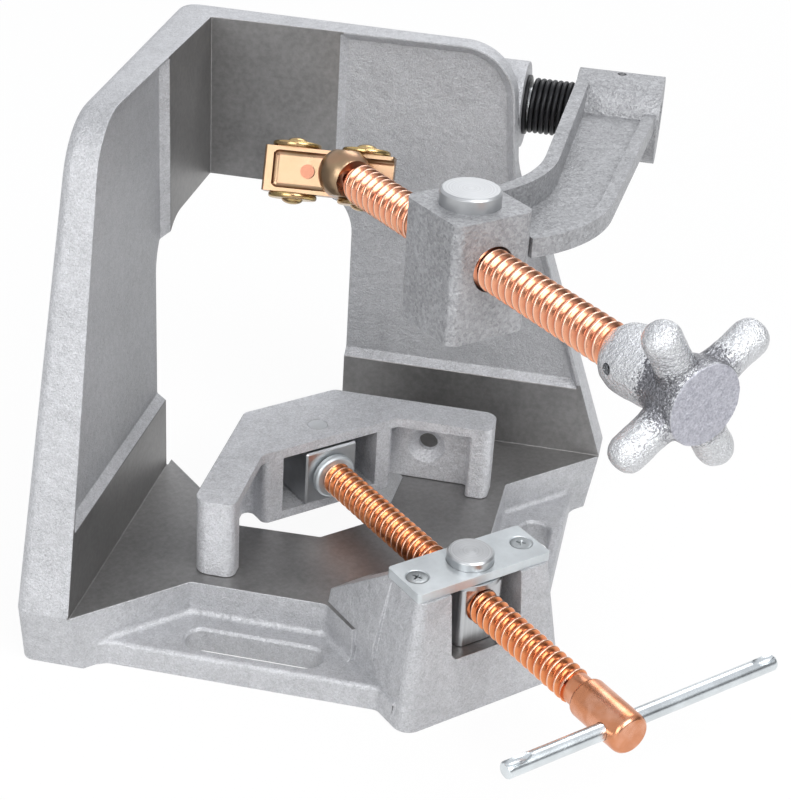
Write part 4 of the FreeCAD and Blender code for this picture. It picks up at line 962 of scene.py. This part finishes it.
class CLAMP_OT_stage(ClampPiece, bpy.types.Operator):
    """Sets up the floor, the lights and the camera"""
    bl_idname = "clamp.stage"
    bl_label = "Stage"

    def execute(self, context):
        self.floor()
        self.world()
        self.lamp("key_light", (0.1, -1.5, 1.7), size=1.5, power=36)
        self.lamp("fill_light", (-1.6, -0.8, 0.9), size=1.2, power=18)
        self.lamp("back_light", (1.5, 1.3, 1.9), size=1.2, power=14)
        self.camera()
        context.scene.view_settings.view_transform = "Standard"
        return {"FINISHED"}

    def floor(self):
        """A wide pale disc that shows white and keeps a soft shadow."""
        seen_white, mirrored_white = 0.93, 0.75
        deselect()
        bpy.ops.mesh.primitive_circle_add(vertices=96, radius=6, fill_type="NGON", location=(0, 0, 0))
        floor = bpy.context.object
        floor.name = "stage_floor"
        paint = Paint("stage_white")
        seen = paint.add("ShaderNodeLightPath", out="Is Camera Ray")
        glossy = paint.add("ShaderNodeLightPath", out="Is Glossy Ray")
        through = paint.add("ShaderNodeLightPath", out="Is Transmission Ray")
        plain = paint.add("ShaderNodeBsdfDiffuse", None, {"Color": (0.86, 0.86, 0.86, 1)})
        glow = paint.add("ShaderNodeEmission", None, {"Color": (1, 1, 1, 1), "Strength": 1.0})
        share = seen * seen_white + glossy * mirrored_white + through * mirrored_white
        share = share.math("MINIMUM", 1.0)
        shader = paint.add("ShaderNodeMixShader", None, {0: share, 1: plain, 2: glow})
        paint.add("ShaderNodeOutputMaterial", None, {"Surface": shader})
        floor.data.materials.append(paint.material)

    def world(self):
        """White air with a darker band behind the viewer, for metal to mirror."""
        mirrored_sky, band_darkness, light_strength = 0.84, 0.68, 0.55
        world = bpy.data.worlds.new("studio_air")
        bpy.context.scene.world = world
        world.use_nodes = True
        paint = Paint.__new__(Paint)
        paint.tree = world.node_tree
        paint.tree.nodes.clear()
        seen = paint.add("ShaderNodeLightPath", out="Is Camera Ray")
        glossy = paint.add("ShaderNodeLightPath", out="Is Glossy Ray")
        parts = paint.axes_of(paint.add("ShaderNodeTexCoord", out="Generated"))
        height, behind = parts[2], parts[1].below(0.1, soft=0.5)
        band = height.between(0.04, 0.16) * (1.0 - height.between(0.38, 0.6)) * behind
        mirrored = band * -band_darkness + mirrored_sky
        unseen = glossy * mirrored + (1.0 - glossy) * light_strength
        sky = paint.add("ShaderNodeBackground", None, {
            "Color": (0.95, 0.965, 1, 1), "Strength": seen + (1.0 - seen) * unseen})
        paint.add("ShaderNodeOutputWorld", None, {"Surface": sky})

    def lamp(self, name, place, size, power):
        """A square lamp aimed at the middle of the clamp."""
        light = bpy.data.lights.new(name, "AREA")
        light.size = size
        light.energy = power
        lamp = bpy.data.objects.new(name, light)
        bpy.context.collection.objects.link(lamp)
        lamp.location = place
        toward = STAGE_MIDDLE - Vector(place)
        lamp.rotation_euler = toward.to_track_quat("-Z", "Y").to_euler()

    def camera(self):
        """The photograph's viewpoint, solved from the walls and the floor."""
        lens = bpy.data.cameras.new("photo_lens")
        lens.sensor_width = FILM_WIDTH
        lens.lens = CAMERA_LENS
        lens.clip_start = 0.01
        camera = bpy.data.objects.new("photo_camera", lens)
        bpy.context.collection.objects.link(camera)
        back = CAMERA_BACK.normalized()
        up = back.cross(CAMERA_RIGHT.normalized()).normalized()
        turn = Matrix((up.cross(back), up, back)).transposed().to_4x4()
        camera.matrix_world = Matrix.Translation(CAMERA_PLACE) @ turn
        bpy.context.scene.camera = camera


PIECES = (
    CLAMP_OT_frame_casting,
    CLAMP_OT_retaining_plate,
    CLAMP_OT_nuts,
    CLAMP_OT_lower_spindle,
    CLAMP_OT_t_bar,
    CLAMP_OT_movable_jaw,
    CLAMP_OT_swing_arm,
    CLAMP_OT_arm_spring,
    CLAMP_OT_upper_spindle,
    CLAMP_OT_star_knob,
    CLAMP_OT_shoe,
    CLAMP_OT_kept_solids,
    CLAMP_OT_stage,
)


class CLAMP_PT_pieces(bpy.types.Panel):
    """Lists the clamp's pieces"""
    bl_idname = "CLAMP_PT_pieces"
    bl_label = "Corner clamp"
    bl_space_type = "VIEW_3D"
    bl_region_type = "UI"
    bl_category = "Corner clamp"

    def draw(self, context):
        for group in (context.scene.clamp_sizes, context.scene.clamp_colours):
            for name in group.__annotations__:
                self.layout.prop(group, name)
        for piece in PIECES:
            self.layout.operator(piece.bl_idname)


CLASSES = (ClampSizes, ClampColours) + PIECES + (CLAMP_PT_pieces,)


def register():
    for cls in CLASSES:
        bpy.utils.register_class(cls)
    bpy.types.Scene.clamp_sizes = bpy.props.PointerProperty(type=ClampSizes)
    bpy.types.Scene.clamp_colours = bpy.props.PointerProperty(type=ClampColours)


def unregister():
    del bpy.types.Scene.clamp_colours
    del bpy.types.Scene.clamp_sizes
    for cls in reversed(CLASSES):
        bpy.utils.unregister_class(cls)


def main():
    register()
    for piece in PIECES:
        group, name = piece.bl_idname.split(".")
        getattr(getattr(bpy.ops, group), name)()


if __name__ == "__main__":
    main()
